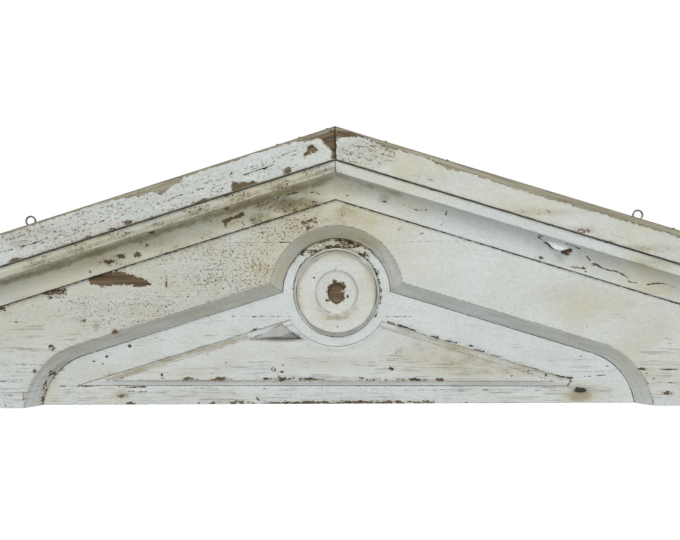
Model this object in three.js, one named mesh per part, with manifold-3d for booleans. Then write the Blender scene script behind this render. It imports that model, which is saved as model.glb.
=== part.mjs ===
// A timber window pediment in old white paint: edge-jointed face planks with a bevelled, arched recess,
// an inner frame with a turned rosette and a raised triangular panel, and a raking crown on top.
// Millimetres, +Z up, seen from the front along +Y.
// The origin is on the flat back, behind the rosette's centre.
import * as THREE from "three";
import { mergeVertices } from "three/addons/utils/BufferGeometryUtils.js";
import { ConvexGeometry } from "three/addons/geometries/ConvexGeometry.js";
import Module from "manifold-3d";

const wasm = await Module();
wasm.setup();

// Slope and overall sizes
const PITCH_DEG = 17.3;
const BOARD_HALF_WIDTH = 650;
const FOOT_DROP = 195; // from the rosette's centre down to the feet
const RAKE_RISE = 211; // from the rosette's centre up to the cap's underside, square to the slope

// Face planks
const BOARD_THICKNESS = 44.5;
const LOWER_JOINT_DROP = 41; // the joint that the face planks and the inner frame share
const UPPER_JOINT_RISE = 87;

// Recess in the face planks
const ARCH_RADIUS = 115;
const SHOULDER_RISE = 50; // from the rosette's centre to the recess's raking edge, square to the slope
const RECESS_HALF_WIDTH = 537;
const RECESS_FOOT_RADIUS = 125;
const BEVEL_WIDTH = 21;

// Inner frame and its triangular opening
const FRAME_THICKNESS = 19;
const RAKING_RAIL_WIDTH = 52;
const BOTTOM_RAIL_WIDTH = 31.5;
const FRAME_FOOT_RISE = 0.5; // how far the frame stops above the feet
const FRAME_CORNER_RADIUS = 5;
const OPENING_OFF_CENTRE = -6; // the opening's triangle was cut this far from the rosette's axis
const RIGHT_TIP_CUT = 37; // how far the opening's right tip stops short of its point
const TIP_CUT_LEAN_DEG = 32;
const OPENING_TURN_DEG = 0.35; // the opening was cut this much out of level, clockwise

// Fielded panel, with its upper left corner split away along the grain
const PANEL_SETBACK = 0.4; // field, below the inner frame's face
const PANEL_STEP = 2; // square shoulder round the field
const PANEL_EDGE_THICKNESS = 16.4;
const RAKING_MARGIN = 10;
const BOTTOM_MARGIN = 8;
const SPLIT_DROP = 82; // from the rosette's centre down to the grain line where the corner broke off
const SPLIT_LENGTH = 92;
const SPLIT_RISE = 26;
const SPLIT_SLIVER = 11.6; // what is left of the panel between the split and the ring
const SPLIT_LEAN_DEG = 34;
const SPLIT_DEPTH = 10.5;
const SPLIT_LIP = 0.5; // how deep the split already is at its outer end

// Rosette, turned from one block and since shrunk across its upright grain, in a recess scribed to fit it
const ROSETTE_RADIUS = 77.5;
const ROSETTE_HALF_WIDTH = 74.4; // its radius across the shrunk grain
const ROSETTE_RECESS_DEPTH = 8;
const RIM_RADIUS = 70;
const RIM_RISE = 11.5;
const RIM_BEAD = 3.4;
const BASE_RISE = 1.6;
const FLAT_OUTER_RADIUS = 60;
const FLAT_RISE = 5;
const DISH_RADIUS = 38.5;
const DISH_DEPTH = 4.6;
const DISH_EDGE_WIDTH = 0.6; // steep step at the dish's edge
const DISH_EDGE_DEPTH = 1;
const SOCKET_RADIUS = 15.5;
const SOCKET_FLOOR_RADIUS = 12.4;
const SOCKET_DEPTH = 6;

// Crown moulding, measured square to the slope
const FILLET_HEIGHT = 18;
const COVE_HEIGHT = 37.5;
const MOULDING_LIP = 2; // flat under the cove
const MOULDING_FOOT_THICKNESS = 6;
const MOULDING_PROJECTION = 37;
const COVE_QUIRK = 3; // underside of the fillet, in front of the cove

// Cap timber on top
const CAP_THICKNESS = 52;
const CAP_OVERHANG = 7;
const CAP_ARRIS_RADIUS = 4;

// Screw eyes in the top
const EYE_OUTER_DIAMETER = 18.7;
const EYE_WIRE = 3;
const EYE_NECK = 1; // shank that shows above the timber
const EYE_SCREW_LENGTH = 22;
const EYE_FROM_WALL = 56;
const LEFT_EYE_X = -517;
const RIGHT_EYE_X = 507;

// Clearances
const CONTACT_GAP = 0.3; // between pieces that touch
const FRAME_GAP = 0.6; // dark line between the inner frame and the bevel
const PANEL_GAP = 0.4;
const ROSETTE_GAP = 0.5;
const CAP_SHADOW_GAP = 1.6; // open joint between the cap and the moulding
const RIDGE_GAP = 0.8;

const slope = Math.tan(THREE.MathUtils.degToRad(PITCH_DEG));
const cosPitch = Math.cos(THREE.MathUtils.degToRad(PITCH_DEG));
const boardFront = -BOARD_THICKNESS;
const frameFront = -FRAME_THICKNESS;
const ringRadius = ARCH_RADIUS - BEVEL_WIDTH;
const frameFoot = -FOOT_DROP + FRAME_FOOT_RISE;
const shrinkage = ROSETTE_HALF_WIDTH / ROSETTE_RADIUS;
const openingTurn = THREE.MathUtils.degToRad(OPENING_TURN_DEG);
const capFront = boardFront - MOULDING_PROJECTION - CAP_OVERHANG;
const PAST = 20; // how far a cutter runs beyond what it cuts
const TIP_BLOCK = RIGHT_TIP_CUT * 3; // block that cuts the opening's right tip off

const paint = (name, colour, roughness = 0.75) => {
  const made = new THREE.MeshStandardMaterial({ color: colour, roughness, metalness: 0 });
  made.name = name;
  return made;
};
const facePaint = paint("face_paint", 0xc6c8bd);
const framePaint = paint("frame_paint", 0xcfd2cc);
const fieldPaint = paint("field_paint", 0xc2c3b6);
const rosettePaint = paint("rosette_paint", 0xcbccc3);
const crownPaint = paint("crown_paint", 0xc3c4b9);
const zinc = new THREE.MeshStandardMaterial({ color: 0x9a9c9e, roughness: 0.4, metalness: 1 });
zinc.name = "zinc";

const group = new THREE.Group();

function add(name, geometry, material) {
  const mesh = new THREE.Mesh(geometry, material);
  mesh.name = name;
  group.add(mesh);
}

// A closed three.js geometry as a solid that can be joined and cut, and back.
function solidOf(geometry) {
  const bare = geometry.index ? geometry.toNonIndexed() : geometry.clone();
  bare.deleteAttribute("normal");
  bare.deleteAttribute("uv");
  const merged = mergeVertices(bare, 1e-4);
  return new wasm.Manifold(
    new wasm.Mesh({
      numProp: 3,
      vertProperties: Float32Array.from(merged.attributes.position.array),
      triVerts: Uint32Array.from(merged.index.array),
    }),
  );
}

function geometryOf(solid) {
  const mesh = solid.getMesh();
  const geometry = new THREE.BufferGeometry();
  geometry.setAttribute("position", new THREE.BufferAttribute(mesh.vertProperties, 3));
  geometry.setIndex(new THREE.BufferAttribute(mesh.triVerts, 1));
  return geometry;
}

const point = (x, z) => new THREE.Vector2(x, z);

// Height of a line that runs down both ways from the middle, a set distance above the rosette's centre.
const rakeHeight = (squareRise, x) => squareRise / cosPitch - slope * Math.abs(x);

// A flat plate whose outline is drawn on the front, in X and Z.
function plate(outline, front, back) {
  const shape = new THREE.Shape(outline);
  const geometry = new THREE.ExtrudeGeometry(shape, { depth: back - front, bevelEnabled: false });
  return geometry.rotateX(Math.PI / 2).translate(0, back, 0);
}

// A block through outlines with as many points each, from the deepest to the nearest.
// An outline runs anticlockwise as seen from the front.
function loft(layers) {
  const count = layers[0].outline.length;
  const positions = layers.flatMap(({ y, outline }) => outline.flatMap((p) => [p.x, y, p.y]));
  const faces = [];
  layers.slice(1).forEach((layer, i) => {
    for (let j = 0; j < count; j++) {
      const next = (j + 1) % count;
      const [a, b] = [i * count + j, i * count + next];
      faces.push(a, b, b + count, a, b + count, a + count);
    }
  });
  const cap = (layer) => THREE.ShapeUtils.triangulateShape(layer.outline, []);
  const front = (layers.length - 1) * count;
  cap(layers[0]).forEach(([a, b, c]) => faces.push(a, c, b));
  cap(layers.at(-1)).forEach(([a, b, c]) => faces.push(front + a, front + b, front + c));
  const geometry = new THREE.BufferGeometry();
  geometry.setAttribute("position", new THREE.Float32BufferAttribute(positions, 3));
  geometry.setIndex(faces);
  return geometry;
}

function arc(centre, radius, fromAngle, toAngle, steps) {
  return Array.from({ length: steps + 1 }, (_, i) => {
    const angle = fromAngle + ((toAngle - fromAngle) * i) / steps;
    return point(centre.x + radius * Math.cos(angle), centre.y + radius * Math.sin(angle));
  });
}

const circle = (radius) => arc(point(0, 0), radius, 0, Math.PI * 2, 96).slice(1);
const mirrored = (points) => points.map((p) => point(-p.x, p.y)).reverse();

// The recess's outline, drawn in by an inset: up the right foot's curve, along the rake, over the arch
// and back down. It runs on below the feet, where the bottom of each piece ends it.
function recessOutline(inset) {
  const footRadius = RECESS_FOOT_RADIUS - inset;
  const halfWidth = RECESS_HALF_WIDTH - inset;
  const rise = SHOULDER_RISE - inset;
  const radius = ARCH_RADIUS - inset;
  const footX = halfWidth - footRadius;
  const footCentre = point(footX, rakeHeight(rise - footRadius, footX));
  const slopeNormal = THREE.MathUtils.degToRad(90 - PITCH_DEG);
  const archStart = slopeNormal - Math.acos(rise / radius);
  const below = Math.min(footCentre.y, -FOOT_DROP) - PAST;
  const right = [point(halfWidth, below), ...arc(footCentre, footRadius, 0, slopeNormal, 20)];
  const arch = arc(point(0, 0), radius, archStart, Math.PI - archStart, 64);
  return [...right, ...arch, ...mirrored(right)];
}

// A strip across the whole part between two heights.
function band(low, high) {
  const side = BOARD_HALF_WIDTH + PAST;
  const outline = [point(-side, low), point(side, low), point(side, high), point(-side, high)];
  return solidOf(plate(outline, boardFront - PAST, PAST));
}

// Which side of the middle a solid is kept on.
function half(side) {
  const far = BOARD_HALF_WIDTH + PAST;
  const tall = RAKE_RISE / cosPitch + FOOT_DROP + PAST;
  const box = new THREE.BoxGeometry(far, BOARD_THICKNESS + PAST * 2, tall * 2);
  return solidOf(box.translate((side * far) / 2, boardFront / 2, 0));
}

// Face planks: one over the arch, and two on each side of the recess
function facePlanks() {
  const top = RAKE_RISE - CONTACT_GAP;
  const outline = [
    point(-BOARD_HALF_WIDTH, -FOOT_DROP),
    point(BOARD_HALF_WIDTH, -FOOT_DROP),
    point(BOARD_HALF_WIDTH, rakeHeight(top, BOARD_HALF_WIDTH)),
    point(0, rakeHeight(top, 0)),
    point(-BOARD_HALF_WIDTH, rakeHeight(top, BOARD_HALF_WIDTH)),
  ];
  const bevelDepth = BOARD_THICKNESS - FRAME_THICKNESS;
  const spill = (BEVEL_WIDTH * PAST) / bevelDepth;
  const cutter = loft([
    { y: PAST, outline: recessOutline(BEVEL_WIDTH) },
    { y: frameFront, outline: recessOutline(BEVEL_WIDTH) },
    { y: boardFront - PAST, outline: recessOutline(-spill) },
  ]);
  const board = solidOf(plate(outline, boardFront, 0)).subtract(solidOf(cutter));
  const lowest = -FOOT_DROP - PAST;
  const highest = RAKE_RISE / cosPitch + PAST;
  const lower = band(lowest, -LOWER_JOINT_DROP - CONTACT_GAP / 2);
  const middle = band(-LOWER_JOINT_DROP + CONTACT_GAP / 2, UPPER_JOINT_RISE - CONTACT_GAP / 2);
  const upper = band(UPPER_JOINT_RISE + CONTACT_GAP / 2, highest);
  add("face_plank_top", geometryOf(board.intersect(upper)), facePaint);
  for (const [word, side] of [["left", -1], ["right", 1]]) {
    const sideBoard = board.intersect(half(side));
    add(`face_plank_middle_${word}`, geometryOf(sideBoard.intersect(middle)), facePaint);
    add(`face_plank_foot_${word}`, geometryOf(sideBoard.intersect(lower)), facePaint);
  }
}

// How far up and out the opening's raking edges and sill lie, drawn in by a clearance.
function openingLines(clearance) {
  const rise = SHOULDER_RISE - BEVEL_WIDTH - RAKING_RAIL_WIDTH - clearance;
  const sill = frameFoot + BOTTOM_RAIL_WIDTH + clearance;
  return { rise, sill, reach: (rise / cosPitch - sill) / slope };
}

// The triangular opening that the panel fills.
// The ring round the rosette cuts its top, and its right tip is blunt.
function openingSolid(clearance, front, back) {
  const { rise, sill, reach } = openingLines(clearance);
  const corners = [point(-reach, sill), point(reach, sill), point(0, rise / cosPitch)];
  const triangle = solidOf(plate(corners, front, back).translate(OPENING_OFF_CENTRE, 0, 0));
  const ring = plate(circle(ringRadius + clearance), front - PAST, back + PAST);
  const tip = new THREE.BoxGeometry(TIP_BLOCK, back - front + PAST, TIP_BLOCK);
  tip.translate(TIP_BLOCK / 2, (back + front) / 2, 0).rotateY(THREE.MathUtils.degToRad(TIP_CUT_LEAN_DEG));
  tip.translate(OPENING_OFF_CENTRE + reach - RIGHT_TIP_CUT, 0, sill);
  return triangle.subtract(solidOf(ring)).subtract(solidOf(tip));
}

// Inner frame, set in the recess: an upper plank with the arched head, and a lower one round the panel
function innerFrame() {
  const board = solidOf(plate(recessOutline(BEVEL_WIDTH + FRAME_GAP), frameFront, 0));
  const recessFloor = frameFront + ROSETTE_RECESS_DEPTH;
  const recess = plate(circle(ROSETTE_RADIUS), frameFront - PAST, recessFloor);
  const roomy = 1 + ROSETTE_GAP / ROSETTE_RADIUS;
  recess.scale(shrinkage * roomy, 1, roomy);
  const recessed = board.subtract(solidOf(recess));
  const joint = -LOWER_JOINT_DROP;
  const upper = recessed.intersect(band(joint + CONTACT_GAP / 2, ARCH_RADIUS + PAST));
  const opening = geometryOf(openingSolid(0, frameFront - PAST, PAST)).rotateY(openingTurn);
  const lower = recessed
    .intersect(band(frameFoot, joint - CONTACT_GAP / 2))
    .subtract(solidOf(opening))
    .subtract(wornCorner());
  add("inner_frame_upper", geometryOf(upper), framePaint);
  add("inner_frame_lower", geometryOf(lower), framePaint);
}

// What has worn off the frame's lower right corner.
function wornCorner() {
  const x = RECESS_HALF_WIDTH - BEVEL_WIDTH - FRAME_GAP - FRAME_CORNER_RADIUS;
  const z = frameFoot + FRAME_CORNER_RADIUS;
  const round = arc(point(x, z), FRAME_CORNER_RADIUS, -Math.PI / 2, 0, 6);
  const far = FRAME_CORNER_RADIUS * 3;
  const outline = [...round, point(x + far, z), point(x + far, z - far), point(x, z - far)];
  return solidOf(plate(outline, frameFront - PAST, PAST));
}

// Fielded panel: a flat field with a square shoulder, and lower margins along its long edges
function fieldedPanel() {
  const fieldFront = frameFront + PANEL_SETBACK;
  const shoulder = fieldFront + PANEL_STEP;
  const blank = openingSolid(PANEL_GAP, fieldFront, 0);
  const { rise, sill } = openingLines(PANEL_GAP);
  const end = RECESS_HALF_WIDTH;
  const bottomMargin = new THREE.Shape([
    point(fieldFront - PAST, sill - PAST),
    point(-PANEL_EDGE_THICKNESS, sill - PAST),
    point(-PANEL_EDGE_THICKNESS, sill),
    point(shoulder, sill + BOTTOM_MARGIN),
    point(fieldFront - PAST, sill + BOTTOM_MARGIN),
  ]);
  const topOf = (squareRise) => squareRise / cosPitch;
  const rakingMargin = new THREE.Shape([
    point(fieldFront - PAST, topOf(rise - RAKING_MARGIN)),
    point(shoulder, topOf(rise - RAKING_MARGIN)),
    point(-PANEL_EDGE_THICKNESS, topOf(rise)),
    point(-PANEL_EDGE_THICKNESS, topOf(rise) + PAST),
    point(fieldFront - PAST, topOf(rise) + PAST),
  ]);
  const rightMargin = alongX(rakingMargin, 0, end, -slope).translate(OPENING_OFF_CENTRE, 0, 0);
  const leftMargin = alongX(rakingMargin, -end, 0, slope).translate(OPENING_OFF_CENTRE, 0, 0);
  const panel = blank
    .subtract(solidOf(alongX(bottomMargin, -end, end, 0)))
    .subtract(solidOf(rightMargin))
    .subtract(solidOf(leftMargin))
    .subtract(splitCorner(fieldFront));
  add("fielded_panel", geometryOf(panel).rotateY(openingTurn), fieldPaint);
}

// The wedge that split off the panel: deepest along the grain line, shallow towards its top and outer end.
function splitCorner(fieldFront) {
  const inner = -ringRadius / 2 - SPLIT_SLIVER;
  const outer = inner - SPLIT_LENGTH;
  const middle = (inner + outer) / 2;
  const apex = inner - SPLIT_RISE / Math.tan(THREE.MathUtils.degToRad(SPLIT_LEAN_DEG));
  const top = -SPLIT_DROP + SPLIT_RISE;
  const at = (x, z, depth) => new THREE.Vector3(x, fieldFront + depth, z);
  const front = -PAST;
  return solidOf(
    new ConvexGeometry([
      at(outer, -SPLIT_DROP, front),
      at(inner, -SPLIT_DROP, front),
      at(apex, top, front),
      at(outer, -SPLIT_DROP, SPLIT_LIP),
      at(middle, -SPLIT_DROP, SPLIT_DEPTH),
      at(inner, -SPLIT_DROP, SPLIT_DEPTH),
      at(apex, top, SPLIT_DEPTH / 4),
    ]),
  );
}

// A profile drawn in Y and Z, run along X, rising or falling with it.
function alongX(shape, fromX, toX, rise) {
  const geometry = new THREE.ExtrudeGeometry(shape, { depth: toX - fromX, bevelEnabled: false });
  const run = new THREE.Matrix4().makeBasis(
    new THREE.Vector3(0, 1, 0),
    new THREE.Vector3(0, 0, 1),
    new THREE.Vector3(1, 0, rise),
  );
  run.setPosition(fromX, 0, fromX * rise);
  return geometry.applyMatrix4(run);
}

// Rosette: a flat base ring, a raised rim that falls inward in a hollow curve, a flat,
// and a dish with an empty socket
function rosette() {
  const base = frameFront + ROSETTE_RECESS_DEPTH - CONTACT_GAP;
  const dishFloor = FLAT_RISE - DISH_DEPTH;
  const y = (rise) => frameFront - rise;
  const profile = [
    point(0, base),
    point(ROSETTE_RADIUS, base),
    point(ROSETTE_RADIUS, y(BASE_RISE)),
    point(RIM_RADIUS + RIM_BEAD, y(BASE_RISE)),
    point(RIM_RADIUS + RIM_BEAD / 2, y(RIM_RISE - RIM_BEAD / 2)),
    ...hollow(8, RIM_RADIUS, y(RIM_RISE), FLAT_OUTER_RADIUS, y(FLAT_RISE)),
    point(DISH_RADIUS, y(FLAT_RISE)),
    ...hollow(8, DISH_RADIUS - DISH_EDGE_WIDTH, y(FLAT_RISE - DISH_EDGE_DEPTH), SOCKET_RADIUS, y(dishFloor)),
    point(SOCKET_FLOOR_RADIUS, y(dishFloor - SOCKET_DEPTH)),
    point(0, y(dishFloor - SOCKET_DEPTH)),
  ];
  const geometry = new THREE.LatheGeometry(profile.reverse(), 80);
  geometry.scale(shrinkage, 1, 1);
  add("rosette", geometryOf(solidOf(geometry)), rosettePaint);
}

// A quarter of an oval that leaves its first point steeply and comes into its last one level.
function hollow(steps, fromRadius, fromY, toRadius, toY) {
  return Array.from({ length: steps + 1 }, (_, i) => {
    const angle = (Math.PI / 2) * (i / steps);
    const radius = fromRadius + (toRadius - fromRadius) * (1 - Math.cos(angle));
    return point(radius, fromY + (toY - fromY) * Math.sin(angle));
  });
}

// Crown moulding and cap, mitred at the ridge and cut plumb at the ends
function crown() {
  const back = boardFront - CONTACT_GAP;
  const height = (squareRise) => squareRise / cosPitch;
  const top = RAKE_RISE - CAP_SHADOW_GAP;
  const filletFoot = top - FILLET_HEIGHT;
  const coveFoot = filletFoot - COVE_HEIGHT;
  const foot = boardFront - MOULDING_FOOT_THICKNESS;
  const nose = boardFront - MOULDING_PROJECTION;
  const coveReach = MOULDING_PROJECTION - COVE_QUIRK - MOULDING_FOOT_THICKNESS;
  const cove = arc(point(0, 0), 1, 0, Math.PI / 2, 14).map((p) =>
    point(foot - coveReach * (1 - p.x), height(coveFoot + COVE_HEIGHT * p.y)),
  );
  const moulding = new THREE.Shape([
    point(back, height(top)),
    point(nose, height(top)),
    point(nose, height(filletFoot)),
    ...cove.reverse(),
    point(foot, height(coveFoot - MOULDING_LIP)),
    point(back, height(coveFoot - MOULDING_LIP)),
  ]);
  const capTop = RAKE_RISE + CAP_THICKNESS;
  const arris = arc(point(0, 0), CAP_ARRIS_RADIUS, Math.PI / 2, Math.PI, 5).map((p) =>
    point(capFront + CAP_ARRIS_RADIUS + p.x, height(capTop - CAP_ARRIS_RADIUS + p.y)),
  );
  const cap = new THREE.Shape([
    point(0, height(capTop)),
    ...arris,
    point(capFront, height(RAKE_RISE)),
    point(0, height(RAKE_RISE)),
  ]);
  const end = BOARD_HALF_WIDTH;
  const capEnd = BOARD_HALF_WIDTH + CAP_OVERHANG;
  const ridge = RIDGE_GAP / 2;
  add("crown_moulding_left", alongX(moulding, -end, -ridge, slope), crownPaint);
  add("crown_moulding_right", alongX(moulding, ridge, end, -slope), crownPaint);
  const leftCap = solidOf(alongX(cap, -capEnd, -ridge, slope)).subtract(screwHole(LEFT_EYE_X));
  const rightCap = solidOf(alongX(cap, ridge, capEnd, -slope)).subtract(screwHole(RIGHT_EYE_X));
  add("cap_left", geometryOf(leftCap), crownPaint);
  add("cap_right", geometryOf(rightCap), crownPaint);
}

const capSurface = (x) => rakeHeight(RAKE_RISE + CAP_THICKNESS, x);

function screwHole(x) {
  const radius = EYE_WIRE / 2 + CONTACT_GAP;
  const length = EYE_SCREW_LENGTH + CONTACT_GAP + PAST;
  const hole = new THREE.CylinderGeometry(radius, radius, length, 12).rotateX(Math.PI / 2);
  const middle = capSurface(x) + PAST - length / 2;
  return solidOf(hole.translate(x, -EYE_FROM_WALL, middle));
}

// Screw eye: a wire ring on a shank that goes down into the cap
function screwEye(name, x) {
  const ringMiddle = (EYE_OUTER_DIAMETER - EYE_WIRE) / 2;
  const centre = EYE_NECK + EYE_OUTER_DIAMETER / 2;
  const ring = new THREE.TorusGeometry(ringMiddle, EYE_WIRE / 2, 10, 32);
  ring.rotateX(Math.PI / 2).translate(0, 0, centre);
  const shankTop = EYE_NECK + EYE_WIRE / 2;
  const length = shankTop + EYE_SCREW_LENGTH;
  const shank = new THREE.CylinderGeometry(EYE_WIRE / 2, EYE_WIRE / 4, length, 12).rotateX(Math.PI / 2);
  shank.translate(0, 0, shankTop - length / 2);
  const eye = solidOf(ring).add(solidOf(shank));
  const geometry = geometryOf(eye).translate(x, -EYE_FROM_WALL, capSurface(x));
  add(name, geometry, zinc);
}

facePlanks();
innerFrame();
fieldedPanel();
rosette();
crown();
screwEye("screw_eye_left", LEFT_EYE_X);
screwEye("screw_eye_right", RIGHT_EYE_X);

export default group;
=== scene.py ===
# The looks of a weathered timber window pediment: old white paint, worn and flaked to bare wood,
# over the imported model's planks, inner frame, panel, rosette, crown moulding and cap.
import math

import bmesh
import bpy
import numpy as np
from mathutils import Matrix, Vector, noise

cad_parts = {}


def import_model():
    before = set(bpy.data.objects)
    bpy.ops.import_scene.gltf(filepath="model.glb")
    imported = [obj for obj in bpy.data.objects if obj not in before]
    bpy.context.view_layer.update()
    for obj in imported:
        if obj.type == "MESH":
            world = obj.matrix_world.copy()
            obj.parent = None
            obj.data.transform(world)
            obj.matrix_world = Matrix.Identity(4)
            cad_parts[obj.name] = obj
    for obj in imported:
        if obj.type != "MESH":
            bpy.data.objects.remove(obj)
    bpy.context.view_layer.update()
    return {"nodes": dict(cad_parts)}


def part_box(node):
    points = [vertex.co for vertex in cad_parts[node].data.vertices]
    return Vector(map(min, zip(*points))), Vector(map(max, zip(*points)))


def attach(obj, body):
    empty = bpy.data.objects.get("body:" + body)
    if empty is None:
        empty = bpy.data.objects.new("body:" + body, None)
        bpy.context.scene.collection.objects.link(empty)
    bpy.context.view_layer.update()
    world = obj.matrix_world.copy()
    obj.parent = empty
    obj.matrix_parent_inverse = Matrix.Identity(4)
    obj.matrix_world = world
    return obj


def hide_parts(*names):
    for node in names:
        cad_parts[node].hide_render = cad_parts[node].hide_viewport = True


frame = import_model()

MM = 0.001
PITCH = math.radians(17.3)
SLOPE = math.tan(PITCH)

# The camera, fitted to the edges in the photograph
PHOTO_WIDTH = 680
PHOTO_HEIGHT = 540
FOCAL_PIXELS = 647
SENSOR_WIDTH = 36
CAMERA_PLACE = Vector((17.6, -1146.9, 34.1)) * MM
CAMERA_YAW = -0.0101
CAMERA_RISE = 0.0042
CAMERA_ROLL = -0.0061

# Planes and heights taken from the model, in metres
FRAME_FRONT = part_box("inner_frame_lower")[0].y
FILLET_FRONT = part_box("crown_moulding_left")[0].y
CAP_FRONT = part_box("cap_left")[0].y
LOWER_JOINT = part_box("face_plank_foot_left")[1].z
UPPER_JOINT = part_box("face_plank_top")[0].z
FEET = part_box("face_plank_foot_left")[0].z

# How finely the pieces are cut for their relief, and how their arrises are eased
GRID = 2.2 * MM
COARSE_GRID = 6 * MM
CUT_OFFSET = 0.37  # the share of a step that keeps the cuts off a piece's own edges
ARRIS = 0.9 * MM
SLIGHT_ARRIS = 0.3 * MM
SHARP = math.radians(25)

# The directions the pieces are cut across: the width, the depth, the height, and square to each rake
ACROSS = Vector((1, 0, 0))
DEPTH = Vector((0, 1, 0))
UPRIGHT = Vector((0, 0, 1))
RAKE_LEFT = Vector((-math.sin(PITCH), 0, math.cos(PITCH)))
RAKE_RIGHT = Vector((math.sin(PITCH), 0, math.cos(PITCH)))

# How deep the wear goes, in millimetres
PAINT_FILM = 0.45
SWELL = 0.22
BRUSH_MARKS = 0.07
HOLE_DEPTH = 1.5
PIT_DEPTH = 0.16
WORN_DEPTH = 1.1

# How the old paint fills the slits between the pieces, in millimetres
CREVICE = 12  # how far in from the back the slits round the inner frame are filled
FRAME_SLIT = 0.7
PANEL_SLIT = 0.52
CAP_SLIT = 0.5
MITRE_OPEN = 6
RAKE_END = -84
RAKE_FILL_WIDTH = 6
TIP_FILLED = -408
TIP_BARE = -380
FILL_DIP = 0.5
OPENED = (-100, -78)  # where the face's upper joint has opened, along X

# The joints between planks that paint fills, in metres
FACE_UPPER_JOINT = UPPER_JOINT - 0.15 * MM
PLANK_LOWER_JOINT = LOWER_JOINT + 0.15 * MM
JOINTS = {"face": (FACE_UPPER_JOINT, PLANK_LOWER_JOINT), "frame": (PLANK_LOWER_JOINT,)}
TOUCHING = 0.01 * MM


def camera_axes():
    """The camera's directions to the right, up and forward."""
    forward = Vector(
        (
            math.sin(CAMERA_YAW) * math.cos(CAMERA_RISE),
            math.cos(CAMERA_YAW) * math.cos(CAMERA_RISE),
            math.sin(CAMERA_RISE),
        )
    )
    level = Vector((math.cos(CAMERA_YAW), -math.sin(CAMERA_YAW), 0))
    upright = level.cross(forward)
    right = math.cos(CAMERA_ROLL) * level + math.sin(CAMERA_ROLL) * upright
    up = math.cos(CAMERA_ROLL) * upright - math.sin(CAMERA_ROLL) * level
    return right, up, forward


def from_photo(pixel, front):
    """The X and Z, in millimetres, where a pixel of the photograph meets the upright plane Y = front."""
    right, up, forward = camera_axes()
    across = (pixel[0] - PHOTO_WIDTH / 2) / FOCAL_PIXELS
    down = (pixel[1] - PHOTO_HEIGHT / 2) / FOCAL_PIXELS
    ray = forward + right * across - up * down
    met = CAMERA_PLACE + ray * ((front - CAMERA_PLACE.y) / ray.y)
    return met.x / MM, met.z / MM


def to_photo(places):
    """Where places, in millimetres, show in the photograph, in its pixels."""
    offset = places * MM - np.array(CAMERA_PLACE)
    right, up, forward = (offset @ np.array(axis) for axis in camera_axes())
    across = PHOTO_WIDTH / 2 + FOCAL_PIXELS * right / forward
    down = PHOTO_HEIGHT / 2 - FOCAL_PIXELS * up / forward
    return np.column_stack((across, down))


PIXEL = (FRAME_FRONT - CAMERA_PLACE.y) / FOCAL_PIXELS / MM  # millimetres to a pixel on the inner frame
ROSETTE_PIXEL = (336.6, 293.8)

# Outlines of bare wood and of the knot hole, in photograph pixels
LONG_BARE_PATCH = [
    (86.8, 278.2), (93.3, 275.4), (104, 272.2), (112.8, 271.6), (119.3, 272.2), (128, 273.3),
    (134.5, 275.4), (139.9, 277.6), (145.3, 279.8), (149.7, 282.5), (151.8, 285.2), (145.3, 286.3),
    (138.8, 286.3), (132.3, 285.2), (123.6, 285.2), (112.8, 284.7), (107.4, 286.3), (103, 286.8),
    (98.7, 285.2), (91.1, 284.1), (88.9, 280.9),
]
KNOT_HOLE = [
    (573.3, 391), (575.6, 389.5), (577.1, 387), (579.2, 388), (583.3, 387.4), (585.8, 389), (587.9, 391),
    (585.3, 392), (581.2, 393), (578.2, 392.5), (575.1, 392),
]
LOST_BOSS = [
    (326.8, 291.6), (328.2, 286), (331.7, 283.8), (332.4, 279.6), (335.9, 280.3), (339.4, 282.4),
    (345, 281.7), (346.2, 286), (344.4, 288.7), (342.2, 290.9), (343, 295.8), (344.4, 299.3),
    (341.5, 303.5), (336.6, 304.9), (331.7, 302.8), (328.9, 298.6),
]
COVE_CHIP = [
    (222.5, 221.6), (230.3, 217.7), (237, 214.9), (243.7, 212.7), (243.1, 214.9), (237, 217.7),
    (232.5, 220.5), (226.9, 222.7), (224.7, 227.2), (224.1, 223.8),
]
WOOD_UNDER_FLAKE = [
    (561.5, 249.6), (565, 248.9), (569, 247.6), (571.4, 249), (571, 254.6), (566, 254.2), (561, 253.2),
]
RIGHT_BARE_STRIP = [
    (328, 100), (328, 137), (337, 137.2), (343, 136.4), (354, 136.2), (366, 138.6), (376, 142.6),
    (383, 146), (388, 149), (394, 149.8), (402, 150.8), (412, 154), (425, 157), (433, 159.4),
    (438, 164.2), (446, 167.4), (455, 170.8), (462, 171), (467, 172), (478, 175.8), (488, 179.2),
    (500, 183.4), (520, 189.6), (533, 193.2), (546, 198.2), (559, 200.6), (574, 206), (590, 210.6),
    (606, 214.8), (622, 219.6), (640, 225), (656, 229.6), (668, 233), (676, 236.4), (700, 244),
    (700, 100),
]
LEFT_BARE_STRIP = [
    (-20, 200), (-20, 240.6), (2, 234.6), (60, 216.2), (110, 200.2), (120, 198.4), (127, 197.6),
    (134, 196.2), (142, 195), (150, 192.8), (156, 191.2), (159.4, 194.6), (162, 195.2), (164.6, 190.6),
    (170, 187), (181, 181.4), (184, 177), (200, 171.8), (230, 162), (262, 151.6), (280, 145.8),
    (296, 141.4), (304, 141.8), (310, 139.4), (318.5, 138), (325, 143.5), (329.6, 148), (333, 153.5),
    (332, 158.5), (336.6, 162), (336.6, 90),
]
RIDGE_WOOD_LEFT = [
    (309, 139.6), (318.5, 137.6), (325, 143), (329.6, 147.6), (333, 153), (332.4, 158), (336.4, 161),
    (336.4, 131.4), (322, 134.6),
]
RIDGE_WOOD_RIGHT = [
    (330, 130), (330, 137.4), (343, 136.6), (354, 136.4), (366, 138.4), (372, 141), (362, 135.6),
    (350, 131.6),
]
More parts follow.
